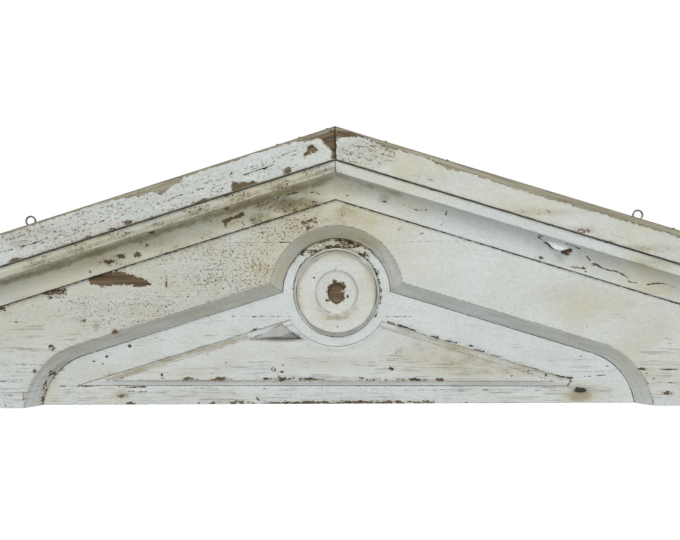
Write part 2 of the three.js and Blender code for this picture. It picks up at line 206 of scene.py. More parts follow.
CHIP_BY_RIDGE = [
    (308.4, 145.7), (310.6, 144), (314, 145.7), (315, 148.5), (318.4, 149.6), (315, 152.4),
    (311.7, 152.4), (308.4, 154.6), (303.9, 159), (303.9, 154.6), (306.2, 151.3),
]
SMALL_CHIP_BY_RIDGE = [
    (283.8, 170.3), (287.2, 167), (290.6, 169.2), (290, 172.5), (290.6, 175.4), (287.2, 174.2),
]
CHIP_OVER_FILLET = [
    (231.4, 184.8), (233.6, 182.5), (241.4, 182), (250.4, 182), (258.2, 183.1), (252.6, 185.3),
    (247, 187.6), (240.3, 189.8), (234.7, 192.6), (231, 193.4), (231.4, 188.1),
]
CHIP_MIDWAY = [
    (192, 206), (196, 202), (205, 199), (214, 197.6), (216, 199), (205, 202.4),
]
CHIP_AT_LEFT_END = [
    (8.7, 262), (13, 258.4), (22, 257.5), (25, 258.5), (17, 261.6), (8, 265),
]
CHIP_ON_LEFT_FOOT = [
    (81, 240.4), (84, 236.8), (90, 236.4), (91, 238.4),
]

# The other marks on each surface, also in photograph pixels.
# "brown" is dark bare wood and "tan" pale bare wood, as outlines. "dark" is an open hole, painted near
# black for the shade inside it.
# A spot is its middle, half width and half height. A ring is its middle and radius.
# A crack is its half width and its path. A band is a strength, a half width and a path.
# An arc is a half width, the radii across and up, and the angles where it starts and ends.
# The soft patches (chips, painted_shades, warm, lined, stains, crazed) are a middle, half width, half
# height and strength. The painted shade patches darken the split pocket, the panel's lower margin and the
# knot hole.
MARKS = {
    "face": {
        "brown": [LONG_BARE_PATCH],
        "brown_spots": [
            (49, 293.4, 6, 1.4), (57, 290.6, 8, 2.2), (61, 294.4, 3.5, 1.5), (50, 297.5, 2, 1.1),
            (56.5, 297, 2.5, 1.2), (63, 297.4, 1.3, 1), (1.5, 308.5, 3.2, 1.8), (305, 222.6, 3.2, 1.8),
            (308.4, 227.6, 1.2, 1.8), (311, 219.4, 1.8, 1.1), (316, 218.2, 1.6, 0.9), (315, 222, 1, 1.2),
            (398.5, 229.4, 1.5, 1.1), (422, 234.2, 1.4, 0.9), (166, 283, 1.2, 3.5), (115, 331.5, 3, 1.7),
            (82.4, 321.6, 1.4, 1.2), (668, 393.6, 4, 1.2), (642.4, 369, 2.3, 0.8),
            (34.7, 370.6, 1.2, 1.6), (23.4, 395.4, 1, 1.8),
        ],
        "dark_spots": [
            (383.3, 225.1, 0.7, 0.8), (392, 223.8, 0.6, 0.5), (395.5, 224.2, 0.7, 0.5),
            (399, 224.6, 0.8, 0.5), (413.6, 239, 0.6, 0.6), (427, 234.6, 0.8, 0.4),
            (102, 316.5, 0.9, 0.6), (148, 304.9, 0.9, 0.7), (123.6, 326, 0.8, 0.7),
            (586.8, 327.2, 0.7, 0.8), (605.7, 333, 1, 0.6), (603.6, 328.6, 0.6, 0.5),
            (653.7, 378.6, 1.5, 0.7), (648, 383.4, 0.6, 0.8), (649.6, 388.5, 0.7, 0.7),
            (652.8, 400.9, 1, 1.8), (647, 373.4, 1.4, 0.6), (458.5, 243.3, 0.6, 0.6),
            (10.5, 317.8, 0.8, 0.6), (1.5, 318, 0.8, 0.6), (15.6, 322, 1.2, 0.7),
            (50.6, 346.2, 1.4, 1.2),
        ],
        "rings": [(51.2, 347.7, 2.6), (3.4, 404.6, 2.2)],
        "cracks": [
            (0.12, [(236, 242.8), (262, 242.6), (278, 242.4)]),
            (0.35, [(279, 242.4), (290, 242.4)]),
            (0.2, [(106, 317.4), (130, 317.2), (156, 317)]),
            (0.25, [(0, 365.4), (12, 365.2), (24, 364.9), (35, 365)]),
            (0.3, [(0, 381.4), (14, 381.2), (26, 380.8)]),
            (0.2, [(0, 371), (16, 370.9), (30, 370.6)]),
            (0.2, [(0, 396), (14, 395.8)]),
            (0.4, [(667, 343.4), (673, 343.9), (680, 344)]),
            (0.4, [(660, 369.4), (668, 369.6), (680, 369.5)]),
            (0.4, [(656, 382), (669, 382.3), (680, 382.2)]),
        ],
        "chips": [
            (62, 366, 6, 3, 0.8), (52, 374, 5, 5, 0.9), (45, 386, 3, 9, 0.9), (43, 400, 2.4, 7, 0.8),
            (35, 370, 3, 6, 0.6), (50, 294, 11, 2.6, 0.8), (61, 292, 6, 3.5, 0.9),
            (308, 222, 7, 5, 0.75), (395, 224.4, 7, 2, 0.5), (166, 283, 2.4, 5, 0.8),
            (103, 327, 8, 5, 0.45), (82, 322, 4, 5, 0.6), (648, 374, 5, 4, 0.55), (651, 390, 3, 10, 0.5),
            (668, 393, 6, 3, 0.8), (30, 371, 4, 8, 0.4), (12, 320, 14, 4, 0.45), (258, 232, 30, 8, 0.35),
            (345, 207, 12, 4, 0.35), (117, 331, 5, 3, 0.8), (3, 309, 5, 3, 0.9), (600, 331, 8, 5, 0.4),
            (380, 219, 30, 3, 0.35),
        ],
        "bands": [
            (0.8, 2.2, [(68, 361), (58, 367), (50, 375), (44.6, 384), (42, 395), (41, 405)]),
            (0.4, 2, [(24, 396), (30, 380), (38, 367), (52, 356), (74, 345)]),
            (0.5, 2, [
                (384, 262), (380, 252), (370, 244), (356, 238.4), (337, 236.4), (318, 238.6), (302, 246),
            ]),
            (0.5, 3, [(0, 311), (150, 263), (336, 204)]),
            (0.35, 2, [(340, 205), (440, 234)]),
            (0.5, 1.4, [(112, 334), (150, 318), (190, 306), (262, 284)]),
            (0.3, 5, [(70, 352), (112, 337), (180, 314), (262, 289)]),
            (0.4, 5, [(282, 284), (286, 268), (296, 254), (310, 243), (330, 236), (350, 237)]),
        ],
        "warm": [
            (200, 280, 190, 70, 0.35), (345, 222, 80, 24, 0.8), (40, 310, 70, 50, 0.4),
            (337, 240, 60, 10, 1), (600, 310, 50, 24, 0.45), (520, 285, 40, 24, 0.2),
            (648, 350, 40, 40, 0.4), (560, 350, 60, 20, 0.2), (270, 262, 30, 30, 0.7),
            (110, 345, 60, 20, 0.3), (420, 250, 40, 30, 0.3),
        ],
        "lined": [
            (18, 360, 36, 46, 1), (70, 340, 30, 30, 0.7), (664, 372, 30, 34, 0.9),
            (130, 320, 60, 20, 0.4), (590, 330, 60, 20, 0.35),
        ],
        "stains": [
            (120, 300, 130, 70, 0.15), (345, 225, 90, 30, 0.35), (96, 327, 5, 4, 0.8),
            (82, 321, 5, 5, 0.6), (40, 312, 20, 8, 0.35), (561, 293, 22, 10, 0.3),
            (600, 300, 30, 20, 0.22), (630, 304, 8, 6, 0.4), (640, 330, 22, 20, 0.3),
            (346, 211, 14, 9, 0.7), (335, 222, 14, 8, 0.6), (290, 215, 18, 14, 0.5),
            (262, 272, 10, 9, 0.5), (170, 310, 60, 16, 0.3), (651, 377, 20, 8, 0.45),
            (20, 330, 30, 40, 0.25), (52, 349, 4, 3, 0.7), (225, 240, 50, 14, 0.25),
            (115, 332, 5, 3, 0.8),
        ],
        "crazed": [
            (225, 268, 95, 45, 0.8), (130, 310, 90, 24, 0.75), (290, 225, 44, 22, 0.85),
            (30, 306, 50, 14, 0.5), (350, 218, 30, 14, 0.6), (560, 290, 60, 30, 0.15),
            (70, 320, 70, 24, 0.4), (270, 276, 40, 24, 0.65),
        ],
    },
    "frame": {
        "brown_spots": [
            (59, 369.6, 3.6, 1.6), (52.6, 374.4, 4, 2), (46.5, 380.6, 2.4, 2.8), (42.4, 392, 1.5, 6),
            (120, 377.4, 5, 1), (300, 402.6, 42, 1), (376, 402.4, 36, 0.9), (257.6, 399.4, 1, 2.4),
            (131, 404, 3, 0.8), (213, 404, 3, 0.8), (121.9, 395, 3.4, 1.2), (346, 401.6, 8, 0.8),
        ],
        "dark": [KNOT_HOLE],
        "dark_spots": [
            (93.3, 361.3, 2.4, 0.7), (106.8, 356.4, 1.6, 1.4), (109.4, 355.2, 0.8, 0.9),
            (102.5, 364, 1.1, 0.9), (129.4, 346, 1.8, 1.7), (156, 338, 0.7, 0.6),
            (580.7, 356.3, 1.3, 0.5), (595, 359.4, 0.8, 0.7), (607.2, 366.3, 1.4, 0.5),
            (584.3, 350.2, 0.9, 0.8), (252, 331.6, 2.4, 0.7), (262, 329.8, 2.2, 0.6),
            (278, 326.2, 1.2, 0.8), (303, 214, 1.8, 1.4), (233, 316.2, 1.4, 0.6), (404, 316.4, 0.7, 0.6),
            (299, 252.6, 2.4, 1.8), (304, 250.4, 2, 1), (352, 243, 3.4, 1.8), (358, 246, 2.6, 1.4),
            (347, 240.6, 3, 1), (318, 241, 2, 0.6), (326, 238.6, 3, 0.8), (366, 248.6, 1.8, 1.2),
            (572, 377.6, 2.2, 0.7),
        ],
        "arcs": [
            (1.2, 44.2, 46, 100, 152), (1.7, 44, 46.2, 80, 112), (1, 44.6, 46.4, 30, 78),
            (0.7, 44.4, 46, -30, 32), (0.5, 44, 45.6, 154, 175), (0.6, 53.6, 54, 70, 112),
            (0.4, 54.2, 54.4, 6, 62), (0.5, 54, 54.2, 118, 168), (0.5, 54.6, 54.6, 232, 262),
            (0.8, 54.6, 54.6, 262, 286), (0.9, 54.6, 54.6, 296, 322),
        ],
        "cracks": [
            (0.2, [(236, 316.4), (262, 316.5), (291, 316.6)]),
            (1.1, [(66, 362.6), (58, 367.6), (50, 374), (46, 380), (43.4, 390), (41.8, 403)]),
            (0.35, [(384, 316.6), (396, 316.7), (412, 316.5)]),
            (0.9, [(388, 322), (394, 324.2), (399, 326.4)]),
            (1.5, [(399, 325.6), (404, 327.6), (409, 329.8), (414, 331.4)]),
            (0.8, [(431, 336.8), (438.5, 337.6)]),
            (0.7, [(445, 341), (451, 341.8), (457, 343)]),
            (1.1, [(470, 345.6), (472.4, 346)]),
            (0.9, [(474.6, 349.6), (478, 350.8), (484, 351.4)]),
            (0.8, [(492, 355), (498, 356.6), (503, 357.4)]),
            (0.9, [(516, 363.4), (524, 366.4), (534, 369.6), (545, 373.4)]),
            (1.1, [(545, 373.8), (552, 375.2), (561, 377), (571, 378)]),
            (0.45, [(584, 376.4), (594, 376), (606, 375.4)]),
            (0.5, [(118, 386.6), (131, 387.2), (146, 387)]),
            (0.15, [(190, 388.6), (260, 388.8), (330, 388.4)]),
            (0.15, [(400, 389.6), (470, 390), (560, 390.4)]),
            (0.35, [(110, 391.8), (150, 391.6)]),
            (0.3, [(60, 386), (84, 386.4), (100, 386.2)]),
        ],
        "chips": [
            (53, 375, 6, 6, 0.75), (43, 392, 3, 10, 0.9), (62, 366, 5, 3, 0.7), (118, 377, 9, 2.4, 0.6),
            (300, 403, 40, 1.6, 1), (370, 403, 50, 1.4, 0.8), (350, 243, 22, 6, 0.8),
            (302, 252, 8, 5, 0.8), (312, 252, 12, 6, 0.8), (362, 256, 10, 8, 0.8),
            (375, 274, 6, 12, 0.8), (337, 247, 20, 3, 0.9), (322, 240, 14, 4, 0.6),
            (372, 258, 12, 10, 0.5), (258, 330, 9, 3, 0.8), (277, 326, 7, 2.4, 0.7),
            (246, 338, 10, 2, 0.6), (580, 391, 11, 5, 0.6), (122, 395, 6, 3, 0.6),
            (296, 275, 4, 14, 0.5), (402, 327, 14, 3, 0.75), (440, 339, 20, 2.4, 0.65),
            (480, 351, 20, 2.4, 0.65), (530, 368, 20, 2.6, 0.7), (560, 377, 14, 2.4, 0.75),
            (560, 403, 60, 1.4, 0.3), (160, 403.6, 60, 1.4, 0.4), (330, 346, 30, 2.4, 0.3),
            (208, 345, 20, 1.4, 0.3),
        ],
        "bands": [
            (0.9, 2.4, [(66, 362), (52, 374), (45, 383), (41.5, 395), (41, 405)]),
            (0.8, 2.2, [(108, 379), (127, 373.6), (150, 365.6), (190, 352.6), (220, 344), (246, 336.6)]),
            (0.5, 1.6, [(388, 322), (470, 346), (560, 376)]),
            (0.35, 1.2, [(70, 403), (240, 402.6), (600, 402.8)]),
            (0.3, 1.8, [(288, 268), (300, 252), (318, 242), (340, 239), (360, 244), (378, 258)]),
        ],
        # Painted shade inside the knot hole.
        "painted_shades": [(580, 390.4, 8, 3.4, 0.4)],
        "warm": [
            (105, 385, 30, 18, 0.5), (337, 245, 46, 12, 0.6), (200, 352, 120, 30, 0.18),
            (580, 392, 30, 10, 0.5), (210, 395, 70, 6, 0.3), (520, 396, 60, 6, 0.2),
            (46, 385, 14, 24, 0.6),
        ],
        "lined": [
            (100, 388, 60, 12, 1), (220, 394, 120, 9, 0.7), (420, 394, 160, 9, 0.6),
            (600, 380, 40, 20, 0.6), (190, 340, 90, 20, 0.35), (480, 345, 90, 20, 0.35),
        ],
        "stains": [
            (580, 396, 15, 6, 1), (566, 388, 16, 6, 0.35), (122, 395, 9, 5, 0.7), (118, 376, 16, 4, 0.8),
            (52, 378, 7, 8, 0.5), (92, 370, 22, 10, 0.35), (345, 240, 26, 12, 0.5),
            (372, 252, 12, 10, 0.3), (345, 400, 45, 4, 0.4), (380, 318, 12, 8, 0.2),
            (285, 325, 10, 4, 0.4), (210, 398, 60, 5, 0.25), (40, 400, 8, 10, 0.4),
        ],
        "crazed": [(337, 241, 40, 9, 1), (300, 258, 14, 16, 0.55), (374, 262, 12, 20, 0.4)],
    },
    "panel": {
        "brown_spots": [
            (189, 379.2, 3.4, 0.8), (221, 378.8, 5, 1.1), (266, 379, 4, 1), (283, 378.8, 3.2, 1.3),
            (294, 377.4, 2.8, 0.8), (311, 379.4, 10, 1.1), (369, 379.6, 7, 0.8), (410, 379.4, 9, 0.9),
            (439.4, 380, 3.4, 0.7), (391, 368.9, 1.7, 1.4),
        ],
        "dark_spots": [
            (161.8, 375, 1.2, 1.1), (162.6, 378.4, 1.8, 0.5), (282.2, 371.8, 1.6, 1.3),
            (283, 365.4, 1.2, 0.5), (418.6, 351.3, 0.8, 0.7), (375.6, 376.3, 0.8, 0.8),
            (395.4, 353, 0.7, 0.7), (512.4, 376.3, 1.4, 0.8), (505.6, 373.7, 0.8, 0.7),
            (546, 375.8, 1.4, 1.4), (528, 371, 1.3, 1), (208, 354.3, 0.8, 0.8), (225.6, 362.7, 0.9, 0.8),
            (546, 373.4, 1.1, 0.8), (489, 364, 0.8, 0.5), (436, 340, 1, 0.6),
        ],
        "rings": [(273.6, 369.9, 1.9)],
        "chips": [
            (190, 379.4, 8, 1.4, 0.8), (222, 379, 8, 1.8, 0.9), (268, 379, 9, 1.6, 0.9),
            (290, 378.4, 9, 2, 0.8), (312, 379.6, 14, 1.5, 0.9), (369, 379.8, 10, 1.2, 0.7),
            (410, 379.6, 12, 1.4, 0.8), (440, 380, 8, 1.2, 0.7), (510, 374, 10, 4, 0.4),
            (545, 375, 6, 3, 0.6), (470, 352, 30, 3, 0.5), (530, 371, 20, 3, 0.5), (120, 378, 8, 2, 0.7),
            (240, 344, 16, 2, 0.4), (320, 343, 20, 2, 0.4),
        ],
        "bands": [
            (1, 2.2, [(108, 379.4), (127, 374), (150, 366), (190, 353), (220, 344.4), (246, 337)]),
            (0.8, 2.8, [(398, 329), (440, 342), (500, 360), (562, 379)]),
            (0.45, 1.2, [(140, 380.2), (340, 379.6), (560, 380.4)]),
            (0.5, 1.6, [(304, 344), (320, 349), (340, 351), (362, 345), (384, 328)]),
        ],
        # Painted shade in the split pocket, darkest along its lower edge, and under the field's lower
        # shoulder.
        "painted_shades": [
            (282, 339.2, 19, 2.2, 0.75), (292, 336.4, 9, 4, 0.5), (262, 340, 11, 1, 0.5),
            (280, 332, 12, 6, 0.15), (190, 382.6, 84, 1.5, 0.3), (350, 383.4, 90, 1.5, 0.3),
            (500, 384, 70, 1.5, 0.3),
        ],
        "warm": [
            (470, 362, 100, 18, 0.35), (330, 362, 60, 12, 0.12), (160, 372, 60, 8, 0.3),
            (250, 352, 50, 12, 0.12),
        ],
        "lined": [(340, 368, 200, 12, 0.6)],
        "stains": [
            (430, 350, 40, 14, 0.55), (480, 364, 50, 14, 0.6), (520, 370, 30, 8, 0.6),
            (400, 345, 20, 12, 0.35), (330, 362, 50, 6, 0.4), (265, 352, 26, 8, 0.25),
            (225, 366, 12, 6, 0.4), (250, 380, 40, 2, 0.4), (440, 380, 60, 2, 0.3),
            (190, 372, 14, 6, 0.3),
        ],
        "crazed": [(470, 365, 60, 16, 0.3)],
    },
    "rosette": {
        "brown": [LOST_BOSS],
        "brown_spots": [(328, 300.5, 1, 0.8)],
        "dark_spots": [
            (347.6, 296.5, 1.1, 1.6), (335.9, 268, 0.6, 1.8), (314.2, 277.8, 0.7, 0.7),
            (348.4, 281.6, 0.6, 0.7), (301, 288.6, 0.5, 0.7), (299, 295.6, 0.5, 0.5),
        ],
        "cracks": [
            (0.12, [(337.3, 318), (337.6, 324), (336.8, 333)]),
        ],
        "chips": [
            (337, 255, 20, 3, 0.35), (376, 276, 3, 14, 0.4), (298, 296, 2.4, 14, 0.45),
            (348, 294, 2, 4, 0.4),
        ],
        "bands": [
            (0.7, 1.8, [(318, 309), (326, 315.6), (337, 318), (348, 315.4), (356, 308)]),
            (0.5, 2, [
                (300, 280), (308, 266), (322, 256.6), (338, 254), (354, 258), (366, 267), (374, 280),
                (376, 298),
            ]),
            (0.4, 2, [(300, 280), (297.6, 294), (300, 308)]),
        ],
        "warm": [
            (336.6, 294, 52, 52, 0.08), (336, 256, 34, 5, 0.5), (370, 285, 6, 26, 0.35),
            (336, 317, 20, 3, 0.5), (299, 294, 4, 30, 0.4), (306.9, 293, 2.2, 2.2, 0.4),
            (366.5, 299.4, 2.2, 2.2, 0.4),
        ],
        "stains": [
            (336.6, 317.6, 12, 3, 0.9), (326, 314, 6, 3, 0.7), (348, 313, 6, 3, 0.7),
            (336, 258, 22, 6, 0.35), (372, 272, 5, 16, 0.4), (358, 258, 8, 4, 0.4),
            (329, 284, 6, 6, 0.3),
        ],
    },
    "moulding": {
        "brown": [COVE_CHIP, WOOD_UNDER_FLAKE],
        "brown_spots": [
            (280.6, 189, 3.4, 1.3), (122, 256, 3, 1.4), (137, 255, 2.4, 1.8), (108, 262, 4, 1.1),
            (90, 272, 1.8, 1.1), (151, 233, 2.6, 1), (595.4, 265, 1.9, 1), (541.4, 258.6, 2, 0.7),
            (576.4, 268, 2.8, 0.6), (226, 208.6, 2, 1.6), (201, 208.6, 2, 1), (148, 245, 1.6, 0.8),
        ],
        "dark_spots": [
            (586, 271.8, 0.9, 0.6), (347, 195.6, 1.1, 0.7), (384, 201.6, 2.4, 0.8), (297, 207.6, 1, 0.8),
        ],
        "cracks": [
            (0.5, [(586.7, 256.3), (588.6, 259), (590.7, 261)]),
            (0.55, [
                (596, 265.4), (600, 266.7), (604, 269.2), (607, 269.6), (610, 270.7), (616, 271.2),
                (621.7, 274), (627.4, 277.6), (628.2, 280),
            ]),
            (0.45, [(629, 281.6), (634, 282.6), (638.4, 283.2)]),
            (0.5, [(647, 285), (653, 283.8), (660.7, 283.3), (670, 286), (675, 287)]),
            (0.35, [(403, 204.6), (408, 206.4), (414, 209.6), (420, 211), (427, 210.2)]),
            (0.3, [(447, 211), (445, 218), (441.5, 225)]),
            (0.4, [
                (265, 204.9), (272, 200.6), (281.6, 196.4), (293, 193.4), (304, 192), (315, 192.4),
                (322.9, 195.4),
            ]),
            (0.5, [(531, 231), (536, 232.6), (540, 235.4), (544, 237.2)]),
            (0.6, [(538, 237), (543, 241.6), (549, 244.8), (551, 248), (557, 250.2)]),
            (0.5, [(566, 244), (573, 246.4), (580, 249)]),
        ],
        "chips": [
            (295, 208, 30, 5, 0.5), (248, 222, 22, 5, 0.55), (232, 217, 12, 5, 0.5),
            (122, 256, 10, 3, 0.8), (138, 255, 6, 4, 0.8), (108, 262, 9, 3, 0.7), (98, 271, 12, 3, 0.4),
            (50, 285, 20, 3, 0.35), (151, 233, 7, 2, 0.7), (100, 244, 10, 2, 0.5),
            (200, 208, 20, 2.4, 0.6), (240, 196, 30, 2.4, 0.6), (60, 298, 40, 2, 0.4),
            (384, 199, 5, 5, 0.5), (576, 268, 6, 2, 0.5), (566, 251, 6, 4, 0.5), (658, 264, 20, 4, 0.4),
            (22, 272, 8, 2, 0.4), (300, 180, 20, 2, 0.4), (590, 252, 20, 2, 0.5),
        ],
        "bands": [
            (1, 4.2, [(0, 284), (110, 248.6), (220, 213.6), (332, 178)]),
            (0.22, 7, [(0, 294), (170, 240), (332, 189)]),
            (0.75, 3, [(0, 275.6), (110, 240), (220, 205), (334, 168)]),
            (0.7, 3, [(338, 176), (372, 186.6), (400, 195)]),
            (0.35, 2.4, [(0, 305), (160, 254.6), (334, 198.6)]),
        ],
        "warm": [
            (100, 255, 140, 60, 0.8), (270, 205, 90, 40, 1), (384, 199, 60, 20, 0.5),
            (650, 275, 40, 24, 0.6), (600, 262, 40, 12, 0.3),
        ],
        "stains": [
            (60, 265, 70, 12, 0.35), (150, 240, 70, 10, 0.45), (290, 205, 36, 8, 0.9),
            (262, 219, 16, 8, 0.8), (384, 199, 6, 5, 0.7), (350, 190, 22, 9, 0.5),
            (200, 224, 50, 9, 0.35), (28, 272, 20, 7, 0.4), (660, 262, 26, 6, 0.5),
            (655, 290, 26, 6, 0.3), (600, 262, 20, 6, 0.2),
        ],
        "crazed": [
            (290, 206, 42, 8, 1), (258, 221, 12, 6, 0.9), (200, 206, 130, 4, 0.5), (60, 262, 60, 8, 0.3),
            (110, 262, 30, 6, 0.7), (655, 262, 24, 5, 0.5), (150, 246, 40, 8, 0.5),
            (232, 222, 30, 8, 0.7), (320, 172, 24, 7, 0.8), (280, 185, 24, 7, 0.85),
            (240, 197, 24, 7, 0.85), (200, 210, 24, 7, 0.8), (160, 222, 24, 7, 0.75),
            (120, 235, 24, 7, 0.7), (80, 248, 24, 7, 0.65), (40, 261, 24, 7, 0.7), (30, 300, 30, 5, 0.5),
            (210, 236, 24, 6, 0.7), (170, 250, 24, 6, 0.6),
        ],
    },
    "cap": {
        "tan": [RIGHT_BARE_STRIP, LEFT_BARE_STRIP],
        "brown": [
            RIDGE_WOOD_LEFT, RIDGE_WOOD_RIGHT, CHIP_BY_RIDGE, SMALL_CHIP_BY_RIDGE, CHIP_OVER_FILLET,
            CHIP_MIDWAY, CHIP_AT_LEFT_END, CHIP_ON_LEFT_FOOT,
        ],
        "brown_spots": [
            (112, 229, 2.8, 1.6), (128, 222.6, 3.6, 1.8), (583, 230.8, 4, 1.4), (607, 242, 3.6, 0.7),
            (232, 172.4, 0.8, 1.2), (264, 168.2, 1.6, 1.1),
        ],
        "dark_spots": [
            (18.4, 244.4, 0.8, 1.2), (45, 233, 0.8, 0.9), (52, 224.5, 0.9, 1), (70, 219.6, 0.6, 0.7),
            (75, 229.6, 0.7, 0.8),
        ],
        "cracks": [
            (0.45, [(0, 252.8), (16, 248), (32.5, 244), (42, 240), (52, 236.4)]),
            (0.4, [(172, 198), (186, 193.2), (204, 188)]),
            (0.5, [(236, 177.6), (250, 172.8), (263.8, 168), (272, 165.4)]),
            (0.35, [(276, 157), (290, 152.4), (297, 150)]),
        ],
        "chips": [
            (112, 229, 6, 2.4, 0.8), (128, 222.6, 6, 3, 0.8), (200, 202, 16, 2.4, 0.8),
            (286, 172, 6, 5, 0.7), (311, 150, 9, 7, 0.6), (583, 231, 9, 3, 0.8), (606, 242, 8, 1.6, 0.8),
            (16, 260, 12, 2.6, 0.6), (86, 238, 8, 2, 0.7), (390, 150, 30, 3, 0.6),
            (470, 176, 40, 2.4, 0.4), (650, 252, 30, 3, 0.5), (560, 205, 60, 2.4, 0.35),
            (45, 233, 5, 4, 0.5), (52, 225, 5, 4, 0.6), (18, 244, 5, 4, 0.5), (160, 214, 40, 2, 0.4),
        ],
        "bands": [
            (0.5, 2.4, [(0, 264), (110, 229.6), (220, 195), (334, 160)]),
            (0.4, 2.4, [(340, 160), (440, 190), (560, 226), (680, 262)]),
            (0.35, 2, [(336, 134), (440, 166), (560, 202), (680, 238)]),
        ],
        "warm": [
            (60, 236, 90, 30, 0.22), (400, 168, 70, 26, 0.5), (520, 204, 80, 26, 0.55),
            (620, 234, 60, 24, 0.4), (330, 150, 50, 14, 0.2), (430, 175, 90, 20, 0.3),
            (640, 245, 40, 16, 0.4), (200, 190, 80, 30, 0.1), (540, 210, 60, 14, 0.2),
        ],
        "lined": [(60, 236, 80, 20, 0.5), (520, 210, 200, 40, 0.3), (250, 175, 90, 20, 0.4)],
        "stains": [
            (40, 236, 46, 7, 0.25), (370, 160, 36, 12, 0.25), (420, 168, 40, 12, 0.3),
            (520, 212, 60, 4, 0.5), (583, 230, 14, 4, 0.7), (640, 248, 40, 4, 0.6),
            (462, 184, 50, 10, 0.25), (340, 153, 10, 10, 0.4), (120, 226, 20, 4, 0.4),
            (18, 244, 8, 4, 0.6), (45, 232, 8, 4, 0.6),
        ],
        "crazed": [
            (40, 236, 80, 18, 0.82), (110, 216, 60, 18, 0.75), (165, 198, 50, 18, 0.7),
            (210, 182, 50, 18, 0.65), (255, 168, 50, 16, 0.65), (366, 153, 34, 14, 0.9),
            (300, 150, 30, 8, 0.6), (520, 212, 70, 3.5, 0.7), (640, 250, 40, 4, 0.6),
            (420, 178, 50, 5, 0.5), (560, 205, 120, 18, 0.12),
        ],
    },
}


# How the marks are measured, in millimetres and degrees
UNMARKED = -12.0  # the level of a place that is far from every mark
FAR_AWAY = 60.0  # the furthest that a distance is measured
RING_HALF_WIDTH = 0.9
ARC_STEP = 6
TINY = 1e-9


def from_segment(places, start, end):
    """How far each place is from the line between two points."""
    start = np.array(start)
    run = np.array(end) - start
    offset = places - start
    along = np.clip(offset @ run / max(run @ run, TINY), 0, 1)
    return np.linalg.norm(offset - along[:, None] * run, axis=1)


def nearest_edge(places, edges):
    """How far each place is from the nearest of some edges, in millimetres."""
    nearest = np.full(len(places), FAR_AWAY)
    for start, end in edges:
        nearest = np.minimum(nearest, from_segment(places, start, end))
    return nearest


def inside_outline(places, outline):
    """How far inside a closed outline each place lies, in millimetres. Outside it is below nought."""
    sides = list(zip(outline, np.roll(outline, -1, axis=0)))
    inside = np.zeros(len(places), dtype=bool)
    for start, end in sides:
        crosses = (start[1] > places[:, 1]) != (end[1] > places[:, 1])
        rise = end[1] - start[1] if end[1] != start[1] else TINY
        where = start[0] + (end[0] - start[0]) * (places[:, 1] - start[1]) / rise
        inside ^= crosses & (places[:, 0] < where)
    nearest = nearest_edge(places, sides)
    return np.where(inside, nearest, -nearest)


def inside_oval(places, middle, radii):
    """How far inside an oval each place lies, in millimetres."""
    return (1 - np.linalg.norm((places - middle) / radii, axis=1)) * min(radii)


class Marks:
    """The marks of a surface, read at each vertex of a piece by where the camera sees it."""

    def __init__(self, surface, places):
        self.marks = MARKS[surface]
        self.places = to_photo(places) * PIXEL

    def highest(self, levels, floor):
        """The highest of some levels at each vertex, and the floor where there is none."""
        return np.maximum.reduce([np.full(len(self.places), floor), *levels])

    def from_path(self, pixels):
        """How far each vertex is from a path of pixels, in millimetres."""
        path = np.array(pixels) * PIXEL
        return nearest_edge(self.places, zip(path, path[1:]))

    def outlines(self, key):
        outlines = [np.array(pixels) * PIXEL for pixels in self.marks.get(key, [])]
        return self.highest([inside_outline(self.places, outline) for outline in outlines], UNMARKED)

    def spots(self, key):
        spots = [np.array(spot) * PIXEL for spot in self.marks.get(key, [])]
        return self.highest([inside_oval(self.places, spot[:2], spot[2:]) for spot in spots], UNMARKED)

    def rings(self):
        rings = [np.array(ring) * PIXEL for ring in self.marks.get("rings", [])]
        away = [np.abs(np.linalg.norm(self.places - ring[:2], axis=1) - ring[2]) for ring in rings]
        return self.highest([RING_HALF_WIDTH - distance for distance in away], UNMARKED)

    def cracks(self):
        cracks = self.marks.get("cracks", [])
        levels = [width * PIXEL - self.from_path(pixels) for width, pixels in cracks]
        return self.highest(levels, UNMARKED)

    def arcs(self):
        """Dark lines round the rosette."""
        levels = []
        for width, across, up, start, end in self.marks.get("arcs", []):
            steps = max(3, round((end - start) / ARC_STEP))
            angles = np.radians(np.linspace(start, end, steps + 1))
            arc = np.column_stack((across * np.cos(angles), -up * np.sin(angles))) + ROSETTE_PIXEL
            levels.append(width * PIXEL - self.from_path(arc))
        return self.highest(levels, UNMARKED)

    def bands(self):
        """Stains that fade out to both sides of a path."""
        levels = []
        for strength, width, pixels in self.marks.get("bands", []):
            share = self.from_path(pixels) / (width * PIXEL)
            levels.append(strength * np.exp(-0.7 * share**2))
        return self.highest(levels, 0.0)

    def soft(self, key):
        """Ovals that fade out at their rims."""
        levels = []
        for x, y, half_width, half_height, strength in self.marks.get(key, []):
            shape = (self.places / PIXEL - (x, y)) / (half_width, half_height)
            levels.append(strength * np.exp(-0.6 * np.sum(shape**2, axis=1) ** 2))
        return self.highest(levels, 0.0)


def cad_copy(node):
    """A CAD node's mesh with its triangles merged back into flat faces."""
    shape = bmesh.new()
    shape.from_mesh(frame["nodes"][node].data)
    bmesh.ops.remove_doubles(shape, verts=shape.verts, dist=0.01 * MM)
    bmesh.ops.dissolve_limit(shape, angle_limit=0.01, verts=shape.verts, edges=shape.edges)
    return shape


def panel_outline():
    """The ends, in X and Z, of the edges round the panel's back."""
    shape = cad_copy("fielded_panel")
    at_back = [edge for edge in shape.edges if all(vert.co.y > -0.1 * MM for vert in edge.verts)]
    outline = [[np.array((vert.co.x, vert.co.z)) / MM for vert in edge.verts] for edge in at_back]
    shape.free()
    return outline


PANEL_OUTLINE = panel_outline()


